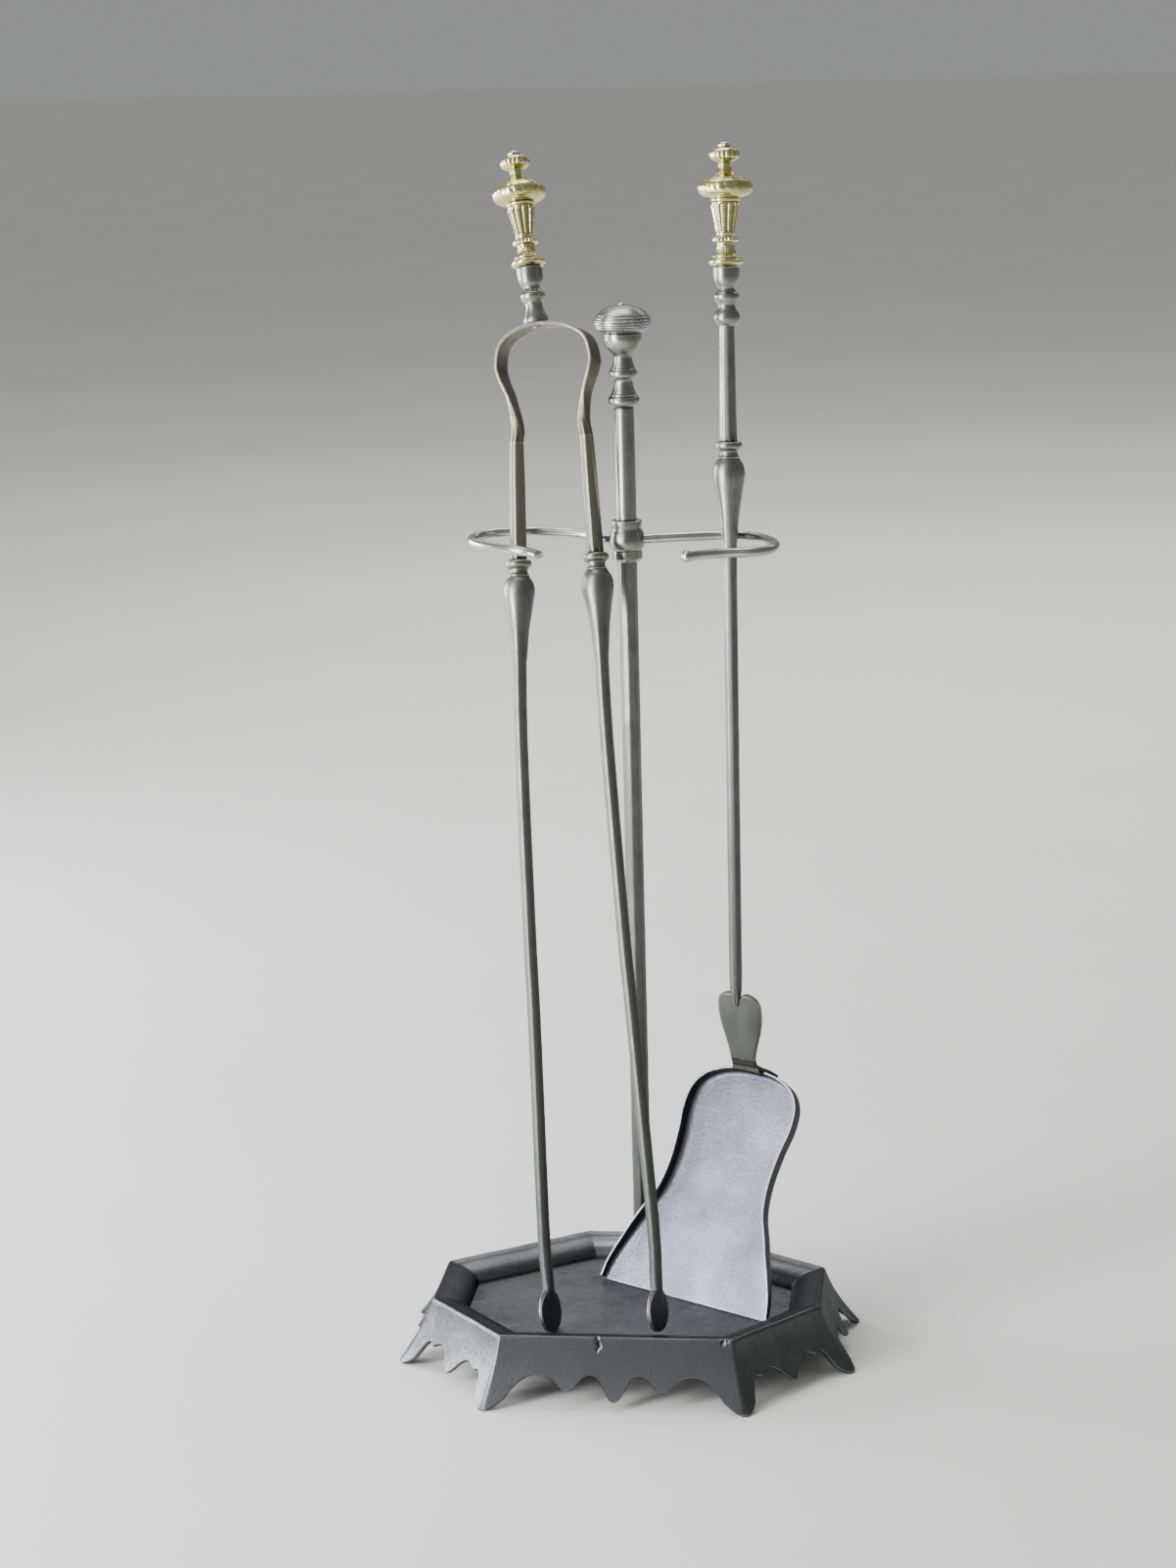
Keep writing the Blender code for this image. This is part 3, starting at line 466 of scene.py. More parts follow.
def clean_mesh(vertices, faces):
    mesh = bpy.data.meshes.new("piece")
    mesh.from_pydata([tuple(spot) for spot in vertices], [], faces)
    bm = bmesh.new()
    bm.from_mesh(mesh)
    bmesh.ops.remove_doubles(bm, verts=bm.verts, dist=0.000001)
    bmesh.ops.dissolve_degenerate(bm, edges=bm.edges, dist=0.0000005)
    bmesh.ops.recalc_face_normals(bm, faces=bm.faces)
    bm.to_mesh(mesh)
    bm.free()
    return mesh


def octagon(angle, power=26):
    """How far an octagon with softened corners reaches at an angle, flats at 1."""
    total = sum(abs(math.cos(angle - FLAT_TURN - k * EIGHTH)) ** power for k in range(4))
    return total ** (-1 / power)


def lathe(profile, place, count=72, shape=None):
    """Spin (radius, height) points, top to bottom; shape(angle, radius, height) carves."""
    rings = []
    for radius, height in profile:
        if radius < 1e-6:
            rings.append([place @ Vector((0, 0, height))])
            continue
        ring = []
        for angle in turns(count):
            reach = shape(angle, radius, height) if shape else radius
            spot = Vector((reach * math.cos(angle), reach * math.sin(angle), height))
            ring.append(place @ spot)
        rings.append(ring)
    return skin(rings)


def mark_relief(mesh):
    """Store how far each point stands proud (+) or lies sunken (-): its mean curvature
    per millimetre, which the materials turn into rubbed edges with a painted highlight, and dirty
    hollows."""
    count = len(mesh.vertices)
    spots = numpy.zeros(count * 3)
    mesh.vertices.foreach_get("co", spots)
    spots = spots.reshape(-1, 3)
    normals = numpy.array([vertex.normal for vertex in mesh.vertices])
    pairs = numpy.array([edge.vertices[:] for edge in mesh.edges])
    ahead = spots[pairs[:, 1]] - spots[pairs[:, 0]]
    square = numpy.maximum((ahead**2).sum(1), 1e-10)
    links = numpy.zeros(count)
    bend = numpy.zeros(count)
    for column, sign in ((0, -1.0), (1, 1.0)):
        ends = pairs[:, column]
        numpy.add.at(bend, ends, sign * (normals[ends] * ahead).sum(1) / square)
        numpy.add.at(links, ends, 1)
    relief = bend / links * 2 * 0.001
    total = relief.copy()
    for column in (0, 1):
        numpy.add.at(total, pairs[:, column], relief[pairs[:, 1 - column]])
    relief = numpy.clip(total / (links + 1), -2, 2)
    store_value(mesh, "relief", relief)


def store_value(mesh, name, values):
    layer = mesh.attributes.new(name, "FLOAT", "POINT")
    layer.data.foreach_set("value", numpy.asarray(values, numpy.float32))


def make_piece(name, mesh, finish, node_name, sharp=38):
    """An object for a finished mesh, which replaces one CAD node."""
    mesh.name = name
    mesh.materials.clear()
    mesh.materials.append(MATERIALS[finish])
    mesh.shade_smooth()
    mesh.set_sharp_from_angle(angle=math.radians(sharp))
    mark_relief(mesh)
    piece = add_object(name, mesh)
    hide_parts(node_name)
    return piece


def stand_in(node_name, mesh, finish, body, sharp=38):
    """A piece that replaces one CAD node and rides on its body."""
    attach(make_piece(f"{node_name}_fine", mesh, finish, node_name, sharp), body)


def turned(node_name, profile, place, body, finish="turned_steel", count=64, shape=None,
           sharp=38):
    stand_in(node_name, lathe(profile, place, count, shape), finish, body, sharp)


def wobble(spot, size, amount):
    """A small hand-made unevenness at a point, the same on every run."""
    return amount * noise.noise(spot / size)


# ---------------------------------------------------------------- cast base


def rim_corners():
    """The rim's eight corners and how each moves for one metre of outward offset."""
    front = -(FRONT_RUN + SIDE_RUN + BACK_RUN) / 2
    side_front = front + FRONT_RUN
    side_back = side_front + SIDE_RUN
    right = [(FRONT_HALF, front), (SIDE_HALF, side_front), (SIDE_HALF, side_back)]
    right.append((BACK_HALF, -front))
    corners = [Vector(corner) for corner in right + [(-x, y) for x, y in reversed(right)]]
    moves = []
    for i, corner in enumerate(corners):
        before = (corner - corners[i - 1]).normalized()
        after = (corners[(i + 1) % 8] - corner).normalized()
        mitre = Vector((before.y + after.y, -before.x - after.x)).normalized()
        moves.append(mitre / mitre.dot(Vector((after.y, -after.x))))
    return corners, moves


CORNERS, CORNER_MOVES = rim_corners()
LONG_WAVES = [
    (0, 0.0052), (0.045, 0.0072), (0.12, 0.0160), (0.17, 0.0184), (0.23, 0.0176), (0.31, 0.0118),
    (0.36, 0.0103), (0.42, 0.0122), (0.50, 0.0170), (0.58, 0.0184), (0.68, 0.0168), (0.80, 0.0095),
    (0.90, -0.004),
]
SHORT_WAVES = [
    (0, 0.0072), (0.06, 0.0084), (0.20, 0.0150), (0.32, 0.0178), (0.42, 0.0168), (0.50, 0.0152),
    (0.58, 0.0164), (0.66, 0.0142), (0.76, 0.0080), (0.87, -0.004),
]
FRONT_PANEL = 7
FOOT_ROUND = 0.0118             # radius of the rounding under each foot


def corner_at(i, offset):
    return CORNERS[i % 8] + CORNER_MOVES[i % 8] * offset


def corner_soften(offset):
    """Length of edge that the rounding of a corner takes; the feet are rounder."""
    return 0.0007 + 0.10 * max(0.0, offset)


def panel_line(i, offset):
    """Ends of one straight side at an offset, short of its rounded corners."""
    start = corner_at(i, offset)
    end = corner_at(i + 1, offset)
    soften = (end - start).normalized() * corner_soften(offset)
    return start + soften, end - soften


def base_spot(column, offset):
    """Plan position of a column: a share along a panel, or a share round a corner."""
    kind, i, share = column
    if kind == "panel":
        start, end = panel_line(i, offset)
        return start.lerp(end, (share + 1) / 2)
    before = panel_line(i - 1, offset)[1]
    after = panel_line(i, offset)[0]
    tip = corner_at(i, offset)
    return before.lerp(tip, share).lerp(tip.lerp(after, share), share)


def skirt_offset(height):
    """The skirt's outer face: slightly hollow, flaring out to the feet."""
    share = (RIM_HEIGHT - height) / (RIM_HEIGHT - SKIRT_WALL / 2)
    return SKIRT_FLARE * share * (0.56 + 0.44 * share)


def wave_height(path, share):
    for low, high in zip(path, path[1:]):
        if low.x <= share <= high.x:
            return low.y + (high.y - low.y) * (share - low.x) / (high.x - low.x)
    return path[-1].y


# casting pits in the front skirt: x, z, how wide and how deep
PITS = [
    (-0.0111, 0.0392, 0.0011, 0.0012), (-0.0105, 0.0368, 0.0013, 0.0010),
    (-0.0096, 0.0347, 0.0012, 0.0011), (-0.0106, 0.0330, 0.0009, 0.0008),
    (0.0616, 0.0396, 0.0008, 0.0006), (0.0643, 0.0385, 0.0014, 0.0011),
    (0.0668, 0.0394, 0.0009, 0.0010),
]
PIT_FACE = -0.1046              # the pits lie in front of this plane


def pitted(spot):
    """The spot pushed back where it lies in a pit of the front skirt."""
    if spot.y > PIT_FACE or spot.z < 0.030:
        return spot
    depth = 0.0
    for x, z, wide, deep in PITS:
        away = math.hypot(spot.x - x, spot.z - z) + wobble(spot, 0.0008, 0.0005)
        depth += deep * math.exp(-((away / wide) ** 4))
    return spot + Vector((0, min(depth, 0.0014), 0))


def hem_height(column):
    """Height of the scalloped hem under a column, softened where it meets a foot."""
    kind, i, share = column
    if kind == "corner":
        return 0.0
    waves = LONG_WAVES if i == FRONT_PANEL else SHORT_WAVES
    mirrored = [(-x, y, 0) for x, y in reversed(waves[1:])] + [(x, y, 0) for x, y in waves]
    path = smooth_path(mirrored, 8)
    half_foot = (corner_at(i + 1, SKIRT_FLARE) - corner_at(i, SKIRT_FLARE)).length / 2
    height = 0.0
    for _ in range(5):
        start, end = panel_line(i, skirt_offset(height))
        reach = abs(share) * (end - start).length / 2
        wave = wave_height(path, reach / half_foot)
        left = half_foot - reach
        foot = left**2 / (2 * FOOT_ROUND)
        height = foot + (wave - foot) * ease(left, 0.0095, 0.0165)
    return max(0.0, height)


def base_section(hem):
    """Closed section as (offset, height), for a skirt that ends at the hem's height."""
    round_over = SKIRT_WALL / 2
    ridge = [(-RIDGE_LAND, RIM_HEIGHT - 0.0002), (-0.0016, RIM_HEIGHT), (-0.0010, RIM_HEIGHT)]
    ridge += [(-0.0005, RIM_HEIGHT - 0.0002), (-0.0001, RIM_HEIGHT - 0.0007)]
    top = RIM_HEIGHT - 0.0014
    bottom = hem + round_over
    rows = 30
    heights = [top + (bottom - top) * i / rows for i in range(rows + 1)]
    outer = [(skirt_offset(height), height) for height in heights]
    middle = skirt_offset(bottom) - round_over
    hem_round = []
    for i in range(1, 6):
        angle = math.radians(-30 * i)
        hem_round.append((middle + round_over * math.cos(angle),
                          bottom + round_over * math.sin(angle)))
    inner = [(offset - SKIRT_WALL, height) for offset, height in reversed(outer[3::2])]
    under = [(-0.0040, 0.0340), (-0.0110, 0.0322), (-0.0170, 0.0262), (-0.0175, LEDGE_UNDER)]
    ledge = [(-LEDGE_REACH, LEDGE_UNDER), (-LEDGE_REACH, LEDGE_TOP), (-ROLL_WIDTH, LEDGE_TOP)]
    roll = []
    for i in range(15):
        angle = math.radians(90 - 6 * i)
        reach = RIDGE_LAND + (ROLL_WIDTH - RIDGE_LAND) * math.sin(angle)
        roll.append((-reach, ROLL_TOE + (RIM_HEIGHT - 0.0008 - ROLL_TOE) * math.cos(angle)))
    return ridge + outer + hem_round + inner + under + ledge + roll


def build_base():
    columns = []
    for i in range(8):
        columns += [("corner", i, share / 6) for share in range(7)]
        steps = 300 if i == FRONT_PANEL else 84
        columns += [("panel", i, 2 * k / steps - 1) for k in range(1, steps)]
    rings = []
    for column in columns:
        ring = []
        for offset, height in base_section(hem_height(column)):
            x, y = base_spot(column, offset)
            spot = Vector((x, y, height))
            shallow = min(1.0, height / 0.004)
            spot.z += shallow * wobble(spot, 0.018, 0.00022) - 0.00022 * shallow
            ring.append(pitted(STAND @ spot))
        rings.append(ring)
    stand_in("base_casting", skin(rings, loop=True), "cast_iron", "stand", 30)


# ---------------------------------------------------------------- forged bars


def bar_rings(stations, place, centre=None):
    """Rings across a forged bar. stations are (height, radius, how square its flats are)."""
    rings = []
    for height, radius, flats in stations:
        middle = centre(height) if centre else Vector((0, 0, height))
        ring = []
        for angle in turns(BAR_POINTS):
            reach = radius * (1 + flats * (octagon(angle) - 1))
            spot = middle + facing(angle) * reach
            unevenness = wobble(spot + Vector((0, 0, height * 2)), 0.016, 0.022)
            drift = 1 + unevenness * min(1, flats + 0.3)
            ring.append(place @ (middle + facing(angle) * (reach * drift)))
        rings.append(ring)
    return rings


def long_run(stations, pitch=0.006):
    """Fill in stations along a plain bar, so that its surface can be uneven."""
    filled = []
    for start, end in zip(stations, stations[1:]):
        steps = max(1, round(abs(end[0] - start[0]) / pitch))
        for i in range(steps):
            filled.append(tuple(a + (b - a) * i / steps for a, b in zip(start, end)))
    return filled + [stations[-1]]


def knot_stations(top, before, after):
    """Collar ring, fine ring and long drop on a forged bar, going down from top, as runs of
    (drop, radius, how square), each from where the last one ended."""
    shape = [
        [(0.0000, before, 1), (0.0004, before + 0.0004, 0.4), (0.0007, 0.0071, 0)],
        [(0.0014, 0.0079, 0), (0.0028, 0.0082, 0), (0.0041, 0.0079, 0), (0.0050, 0.0070, 0)],
        [(0.0056, 0.0061, 0), (0.0068, 0.0056, 0), (0.0082, 0.0056, 0), (0.0094, 0.0061, 0),
         (0.0099, 0.0065, 0)],
        [(0.0103, 0.0068, 0), (0.0108, 0.0066, 0)],
        [(0.0121, 0.0074, 0), (0.0140, 0.0086, 0), (0.0165, 0.0095, 0), (0.0200, 0.0099, 0),
         (0.0240, 0.0096, 0), (0.0305, 0.0084, 0.1), (0.0390, 0.0069, 0.3),
         (0.0480, 0.0057, 0.5), (0.0570, 0.0050, 0.7), (0.0640, after, 0.8)],
    ]
    stations = []
    start = []
    for part in shape:
        part = start + part
        start = part[-1:]
        for point in smooth_path(part, 4):
            stations.append((top - point.x, point.y, min(1.0, max(0.0, point.z))))
    return stations


# ---------------------------------------------------------------- post and hooks


HUB_BALL_DROP = 0.0187          # where the ball meets the lower collar, down from the top

# fine lines turned round the knob's rim, measured down from its top
CAP_LINES = (0.0066, 0.0084, 0.0102, 0.0119, 0.0134)
CAP_LINE_WIDTH = 0.00030
CAP_LINE_DEPTH = 0.00060


def build_post():
    """Tenon, eight-sided bar and the stud that the hub and the upper post sit on."""
    top = HUB_BOTTOM - GAP
    bar = [(POST_FOOT, POST_FLAT, 1), (0.25, POST_FLAT * 0.985, 1), (top, POST_FLAT, 1)]
    stations = [(0.0120, TENON_RADIUS, 0), (POST_FOOT, TENON_RADIUS, 0)] + long_run(bar)
    stations += [(top, STUD_RADIUS, 0), (HUB_TOP - GAP, STUD_RADIUS, 0)]
    stand_in("lower_post", skin(bar_rings(stations, POST_PLACE)), "forged_steel", "stand")


def hub_shape(angle, radius, height):
    """Eight soft creases over the ball and a firmer octagon under it."""
    drop = HUB_TOP - height
    flats = 0.85 if drop > HUB_BALL_DROP else 0.40 * ease(drop, 0.0050, 0.0100)
    return radius * (1 + flats * (octagon(angle) - 1)) * (1 - 0.045 * flats)


def build_hub():
    """Collar, ball and octagonal lower collar, heights measured down from its top."""
    tall = HUB_TOP - HUB_BOTTOM
    profile = runs(
        [(0.0, 0.0), (0.0084, 0.0)],
        [(0.0092, 0.0004), (0.0095, 0.0012), (0.0094, 0.0030), (0.0091, 0.0050),
         (0.0093, 0.0062), (0.0102, 0.0078), (0.0110, 0.0104), (0.0112, 0.0125),
         (0.0110, 0.0148), (0.0103, 0.0170), (0.0094, 0.0183)],
        [(0.0087, 0.0186), (0.0092, 0.0190)],
        [(0.0093, 0.0210), (0.0092, 0.0238)],
        [(0.0076, tall)],
        [(0.0, tall)],
        steps=4,
    )
    profile = [(radius, HUB_TOP - drop) for radius, drop in profile]
    turned("hub", profile, POST_PLACE, "stand", count=96, shape=hub_shape, sharp=32)


def uneven(angle, radius, height):
    spot = Vector((math.cos(angle), math.sin(angle), height * 60))
    return radius * (1 + 0.008 * noise.noise(spot))


def build_upper_post():
    """Two beads under the knob and a plain shaft down to the hub."""
    shaft = 0.0063
    top = CUP_FOOT - GAP
    bottom = HUB_TOP + GAP
    beads = runs(
        [(0.0055, top), (0.0056, 0.6050), (0.0061, 0.6026), (0.0068, 0.6004), (0.0073, 0.5991)],
        [(0.0077, 0.5988), (0.0077, 0.5983)],
        [(0.0084, 0.5974), (0.0087, 0.5960), (0.0083, 0.5945), (0.0073, 0.5934),
         (0.0062, 0.5928)],
        [(0.0057, 0.5916), (0.0057, 0.5898), (0.0062, 0.5874), (0.0070, 0.5852),
         (0.0078, 0.5834)],
        [(0.0082, 0.5830), (0.0082, 0.5824)],
        [(0.0092, 0.5815), (0.0097, 0.5799), (0.0094, 0.5781), (0.0084, 0.5768),
         (0.0069, 0.5760), (0.0061, 0.5757)],
        steps=4,
    )
    body = long_run([(0.5740, 0.0060), (0.5400, shaft), (0.5200, shaft), (bottom, shaft)])
    profile = [(0, top), (0.0055, top)] + beads
    profile += [(radius, height) for height, radius in body] + [(0, bottom)]
    turned("upper_post", profile, POST_PLACE, "stand", shape=uneven)


def build_knob():
    """Cup, ridged cap and nub."""
    cup_top = CAP_FOOT - 0.0002
    cup = runs(
        [(0, cup_top), (0.0112, cup_top)],
        [(0.0117, 0.6197), (0.0117, 0.6186), (0.0115, 0.6160), (0.0104, 0.6128),
         (0.0082, 0.6097), (0.0065, 0.6079), (0.0056, 0.6066), (0.0055, CUP_FOOT)],
        [(0, CUP_FOOT)],
    )
    turned("knob_cup", cup, POST_PLACE, "stand", count=80)

    outline = [
        (0, 0), (0.0050, 0.0004), (0.0095, 0.0017), (0.0130, 0.0037), (0.0155, 0.0058),
        (0.0173, 0.0080), (0.0182, 0.0103), (0.0181, 0.0121), (0.0173, 0.0137),
        (0.0158, 0.0150), (0.0138, 0.0160), (0.0120, 0.0168), (0.0114, CAP_TOP - CAP_FOOT),
    ]
    cap = []
    for radius, drop in runs(outline, steps=20):
        cuts = sum(math.exp(-(((drop - line) / CAP_LINE_WIDTH) ** 2)) for line in CAP_LINES)
        cap.append((max(0.0, radius - CAP_LINE_DEPTH * cuts), CAP_TOP - drop))
    cap.append((0, CAP_FOOT))
    turned("knob_cap", cap, POST_PLACE, "stand", count=112, sharp=32)

    foot = CAP_TOP - 0.0002
    nub = [(0, foot + 0.0013), (0.0010, foot + 0.0012), (0.0017, foot + 0.0008), (0.0020, foot)]
    turned("knob_nub", runs(nub), POST_PLACE, "stand", count=32)


LEFT_HOOK = [
    (-0.0059, 0.0797, 0.4942), (-0.0130, 0.0799, 0.4944), (-0.0280, 0.0850, 0.4968),
    (-0.0480, 0.0888, 0.4978), (-0.0680, 0.0904, 0.4980), (-0.0840, 0.0884, 0.4974),
    (-0.0940, 0.0785, 0.4962), (-0.0940, 0.0675, 0.4952), (-0.0846, 0.0568, 0.4942),
    (-0.0686, 0.0452, 0.4936), (-0.0550, 0.0380, 0.4928), (-0.0485, 0.0322, 0.4920),
]
RIGHT_HOOK = [
    (0.0059, 0.0797, 0.4942), (0.0130, 0.0797, 0.4943), (0.0280, 0.0802, 0.4950),
    (0.0460, 0.0812, 0.4955), (0.0600, 0.0815, 0.4958), (0.0720, 0.0790, 0.4958),
    (0.0835, 0.0690, 0.4955), (0.0910, 0.0530, 0.4955), (0.0935, 0.0380, 0.4955),
    (0.0900, 0.0252, 0.4950), (0.0800, 0.0188, 0.4948), (0.0660, 0.0176, 0.4946),
    (0.0515, 0.0112, 0.4946), (0.0405, 0.0036, 0.4944),
]
HOOK_BAR = 0.0031
HOOK_POINTS = 28


def hook_tip(side, left):
    """Thickness and width of the bar as shares of its own, this far from its tip."""
    if left < 0.0001:
        return 0.30, 0.45
    if side == "left":
        flat = max(0.0, 1 - left / 0.0140)
        end = min(1.0, 0.62 + left / 0.0012)
        return (1 - 0.12 * flat) * end, (1 + 0.30 * flat) * end
    ball = math.exp(-(((left - 0.0028) / 0.0022) ** 2))
    end = min(1.0, 0.40 + left / 0.0022)
    return (1 + 0.25 * ball) * end, (1 + 0.25 * ball) * end


def build_hook(side, knots):
    """A bar forged down to a thin tip and bent round to an open loop."""
    path = [STAND @ point for point in smooth_path(knots, 12)]
    lengths = path_lengths(path)
    rings = []
    for i, point in enumerate(path):
        ahead = (path[min(i + 1, len(path) - 1)] - path[max(i - 1, 0)]).normalized()
        across = ahead.cross(Vector((0, 0, 1))).normalized()
        rise = across.cross(ahead)
        thick, wide = hook_tip(side, lengths[-1] - lengths[i])
        radius = HOOK_BAR * (1 - 0.06 * i / len(path)) * (1 + wobble(point, 0.014, 0.05))
        ring = []
        for angle in turns(HOOK_POINTS):
            reach = radius * (1 + 0.35 * (octagon(angle, 18) - 1))
            ring.append(point + across * (reach * wide * math.cos(angle))
                        + rise * (reach * thick * math.sin(angle)))
        rings.append(ring)
    stand_in(f"{side}_hook", skin(rings), "hook_steel", "stand")


# ---------------------------------------------------------------- turned brass handles


def within(height, low, high, soft=0.0006):
    """1 between two heights, falling smoothly to 0 outside them."""
    rise = min(1.0, max(0.0, (height - low) / soft))
    fall = min(1.0, max(0.0, (high - height) / soft))
    return min(rise, fall)


def bell_shape(angle, radius, height):
    """A ring of twenty beads and, on the waist under it, twenty fine ribs."""
    beads = within(height, 0.0503, 0.0531) * (1 - abs(math.cos(angle * 10)) ** 0.8)
    ribs = within(height, 0.0424, 0.0486, 0.0012) * (1 - abs(math.cos(angle * 10)) ** 0.7)
    return radius * (1 - 0.11 * beads - 0.045 * ribs)


def vase_shape(angle, radius, height):
    """Twelve flutes, round at both ends, between raised ribs."""
    arch, foot = 0.0706, 0.0572
    across = (angle * 12 / (2 * math.pi)) % 1 - 0.5
    half = 0.33
    if height > arch:
        half *= math.sqrt(max(0.0, 1 - ((height - arch) / 0.0026) ** 2))
    if height < foot:
        half *= math.sqrt(max(0.0, 1 - ((foot - height) / 0.0010) ** 2))
    if half < 0.01 or abs(across) >= half:
        return radius
    return radius - 0.125 * radius * math.sqrt(1 - (across / half) ** 2)


def bowl_shape(angle, radius, height):
    """A band of low slanting leaves round the widest part."""
    band = within(height, 0.0782, 0.0870, 0.0022)
    slant = (height - 0.0825) * 230
    leaf = abs(math.sin(angle * 10 + slant)) ** 0.7
    vein = abs(math.sin(angle * 30 - slant * 1.5))
    return radius - band * (0.00036 * (1 - leaf) + 0.00016 * vein)


def button_shape(angle, radius, height):
    """Gadroons round the button's rim and small buds round its tip."""
    ring = within(height, 0.0982, 0.1046, 0.0016)
    crown = within(height, 0.1064, 0.1090, 0.0008)
    lobes = (1 - abs(math.cos(angle * 9))) ** 1.4
    buds = (1 - abs(math.cos(angle * 4))) ** 1.4
    return radius * (1 - 0.075 * ring * lobes - 0.09 * crown * buds)


def ferrule_profile(tool):
    """Cup and bead, then another bead on the shovel or a flared foot on the tongs' bow."""
    cup = [
        (0.0078, FERRULE_TOP - 0.0004), (0.0081, FERRULE_TOP - 0.0014), (0.0080, 0.0310),
        (0.0077, 0.0282), (0.0069, 0.0256), (0.0057, 0.0236), (0.0052, 0.0222),
    ]
    middle_bead = [
        (0.0060, 0.0206), (0.0072, 0.0193), (0.0078, 0.0177), (0.0073, 0.0159),
        (0.0062, 0.0143), (0.0054, 0.0128), (0.0053, 0.0116),
    ]
    foot = {
        "shovel": [(0.0060, 0.0098), (0.0073, 0.0078), (0.0080, 0.0058), (0.0077, 0.0036),
                   (0.0066, 0.0018), (0.0052, GAP)],
        "tongs": [(0.0056, 0.0095), (0.0064, 0.0068), (0.0073, 0.0045), (0.0079, 0.0026),
                  (0.0077, 0.0012), (0.0070, GAP)],
    }
    top = [(0, FERRULE_TOP), (0.0068, FERRULE_TOP)]
    return runs(top, cup, middle_bead, foot[tool], [(0, GAP)])


def bell_profile():
    foot = FERRULE_TOP + GAP
    return runs(
        [(0, BELL_TOP), (0.0060, BELL_TOP)],
        [(0.0066, 0.0537), (0.0068, 0.0532)],
        [(0.0077, 0.0527), (0.0081, 0.0517), (0.0077, 0.0507), (0.0062, 0.0502)],
        [(0.0056, 0.0498), (0.0054, 0.0476), (0.0058, 0.0452), (0.0068, 0.0430),
         (0.0082, 0.0421)],
        [(0.0086, 0.0416), (0.0084, 0.0410)],
        [(0.0092, 0.0404), (0.0098, 0.0397)],
        [(0.0105, 0.0393), (0.0107, 0.0385), (0.0105, 0.0376), (0.0098, 0.0371)],
        [(0.0090, 0.0366), (0.0084, 0.0362)],
        [(0.0078, foot), (0, foot)],
    )


def vase_profile():
    foot = BELL_TOP + GAP
    return runs(
        [(0, VASE_TOP), (0.0085, VASE_TOP)],
        [(0.0090, 0.0757), (0.0089, 0.0749), (0.0083, 0.0743)],
        [(0.0085, 0.0735), (0.0085, 0.0722), (0.0081, 0.0700), (0.0075, 0.0668),
         (0.0068, 0.0634), (0.0062, 0.0600), (0.0058, 0.0572), (0.0056, 0.0558)],
        [(0.0060, 0.0552), (0.0058, foot)],
        [(0, foot)],
        steps=6,
    )


def bowl_profile():
    foot = VASE_TOP + GAP
    return runs(
        [(0, BOWL_TOP), (0.0040, BOWL_TOP)],
        [(0.0043, 0.0938), (0.0054, 0.0919), (0.0074, 0.0902), (0.0100, 0.0890),
         (0.0122, 0.0883)],
        [(0.0127, 0.0880), (0.0130, 0.0875)],
        [(0.0146, 0.0868), (0.0159, 0.0854), (0.0167, 0.0838), (0.0169, 0.0823),
         (0.0166, 0.0808), (0.0158, 0.0794), (0.0145, 0.0783), (0.0129, 0.0775),
         (0.0112, 0.0770)],
        [(0.0099, 0.0767), (0.0087, foot), (0, foot)],
        steps=6,
    )


def button_profile():
    foot = BOWL_TOP + GAP
    return runs(
        [(0, 0.1096), (0.0018, 0.1095), (0.0032, 0.1090), (0.0039, 0.1081), (0.0039, 0.1072),
         (0.0037, 0.1066)],
        [(0.0052, 0.1062), (0.0069, 0.1055), (0.0083, 0.1044), (0.0091, 0.1030),
         (0.0092, 0.1016), (0.0088, 0.1003), (0.0076, 0.0991), (0.0059, 0.0983),
         (0.0045, 0.0976)],
        [(0.0040, 0.0968), (0.0039, foot), (0, foot)],
        steps=6,
    )


# each brass turning: its profile, how many points go round it, and its carving
BRASSES = {
    "bell": (bell_profile(), 200, bell_shape),
    "vase": (vase_profile(), 216, vase_shape),
    "bowl": (bowl_profile(), 240, bowl_shape),
    "button": (button_profile(), 210, button_shape),
}


def build_handle(tool, seat):
    """Ferrule and four brass turnings, threaded over the tang above the seat."""
    turned(f"{tool}_ferrule", ferrule_profile(tool), seat, tool)
    for part, (profile, count, shape) in BRASSES.items():
        turned(f"{tool}_{part}", profile, seat, tool, "brass", count, shape, 45)


# ---------------------------------------------------------------- tongs


# centre line of the bow as (across, down) from the crown, left leg to right leg
BOW_LINE = [
    (-0.0213, 0.0720), (-0.0198, 0.0620), (-0.0225, 0.0440), (-0.0269, 0.0315),
    (-0.0282, 0.0225), (-0.0246, 0.0100), (-0.0132, 0.0024), (0.0013, 0.0000),
    (0.0162, 0.0024), (0.0278, 0.0100), (0.0314, 0.0225), (0.0299, 0.0315),
    (0.0254, 0.0440), (0.0224, 0.0600), (0.0232, 0.0720),
]
LEG_BEND = {
    "left": [
        (0, 0), (0.094, -0.0025), (0.177, -0.0049), (0.300, -0.0046), (0.358, -0.0039),
        (0.479, -0.0036), (0.515, -0.0022), (0.560, 0),
    ],
    "right": [
        (0, 0), (0.094, -0.0005), (0.177, -0.0024), (0.300, -0.0017), (0.358, -0.0004),
        (0.479, 0.0021), (0.515, 0.0012), (0.560, 0),
    ],
}
LEG_TOP_RADIUS = 0.0041
LEG_END_RADIUS = 0.0038
PAD_STEPS = 34


def leg_frame(side):
    top = LEG_TOP[side]
    crown_to_foot = (TONGS_CROWN - TONGS_FOOT).length
    foot = Vector((FOOT_ACROSS[side], 0, -crown_to_foot - LEG_EXTRA[side]))
    return axes_matrix(top, top - foot, Vector((1, 0, 0))), (top - foot).length


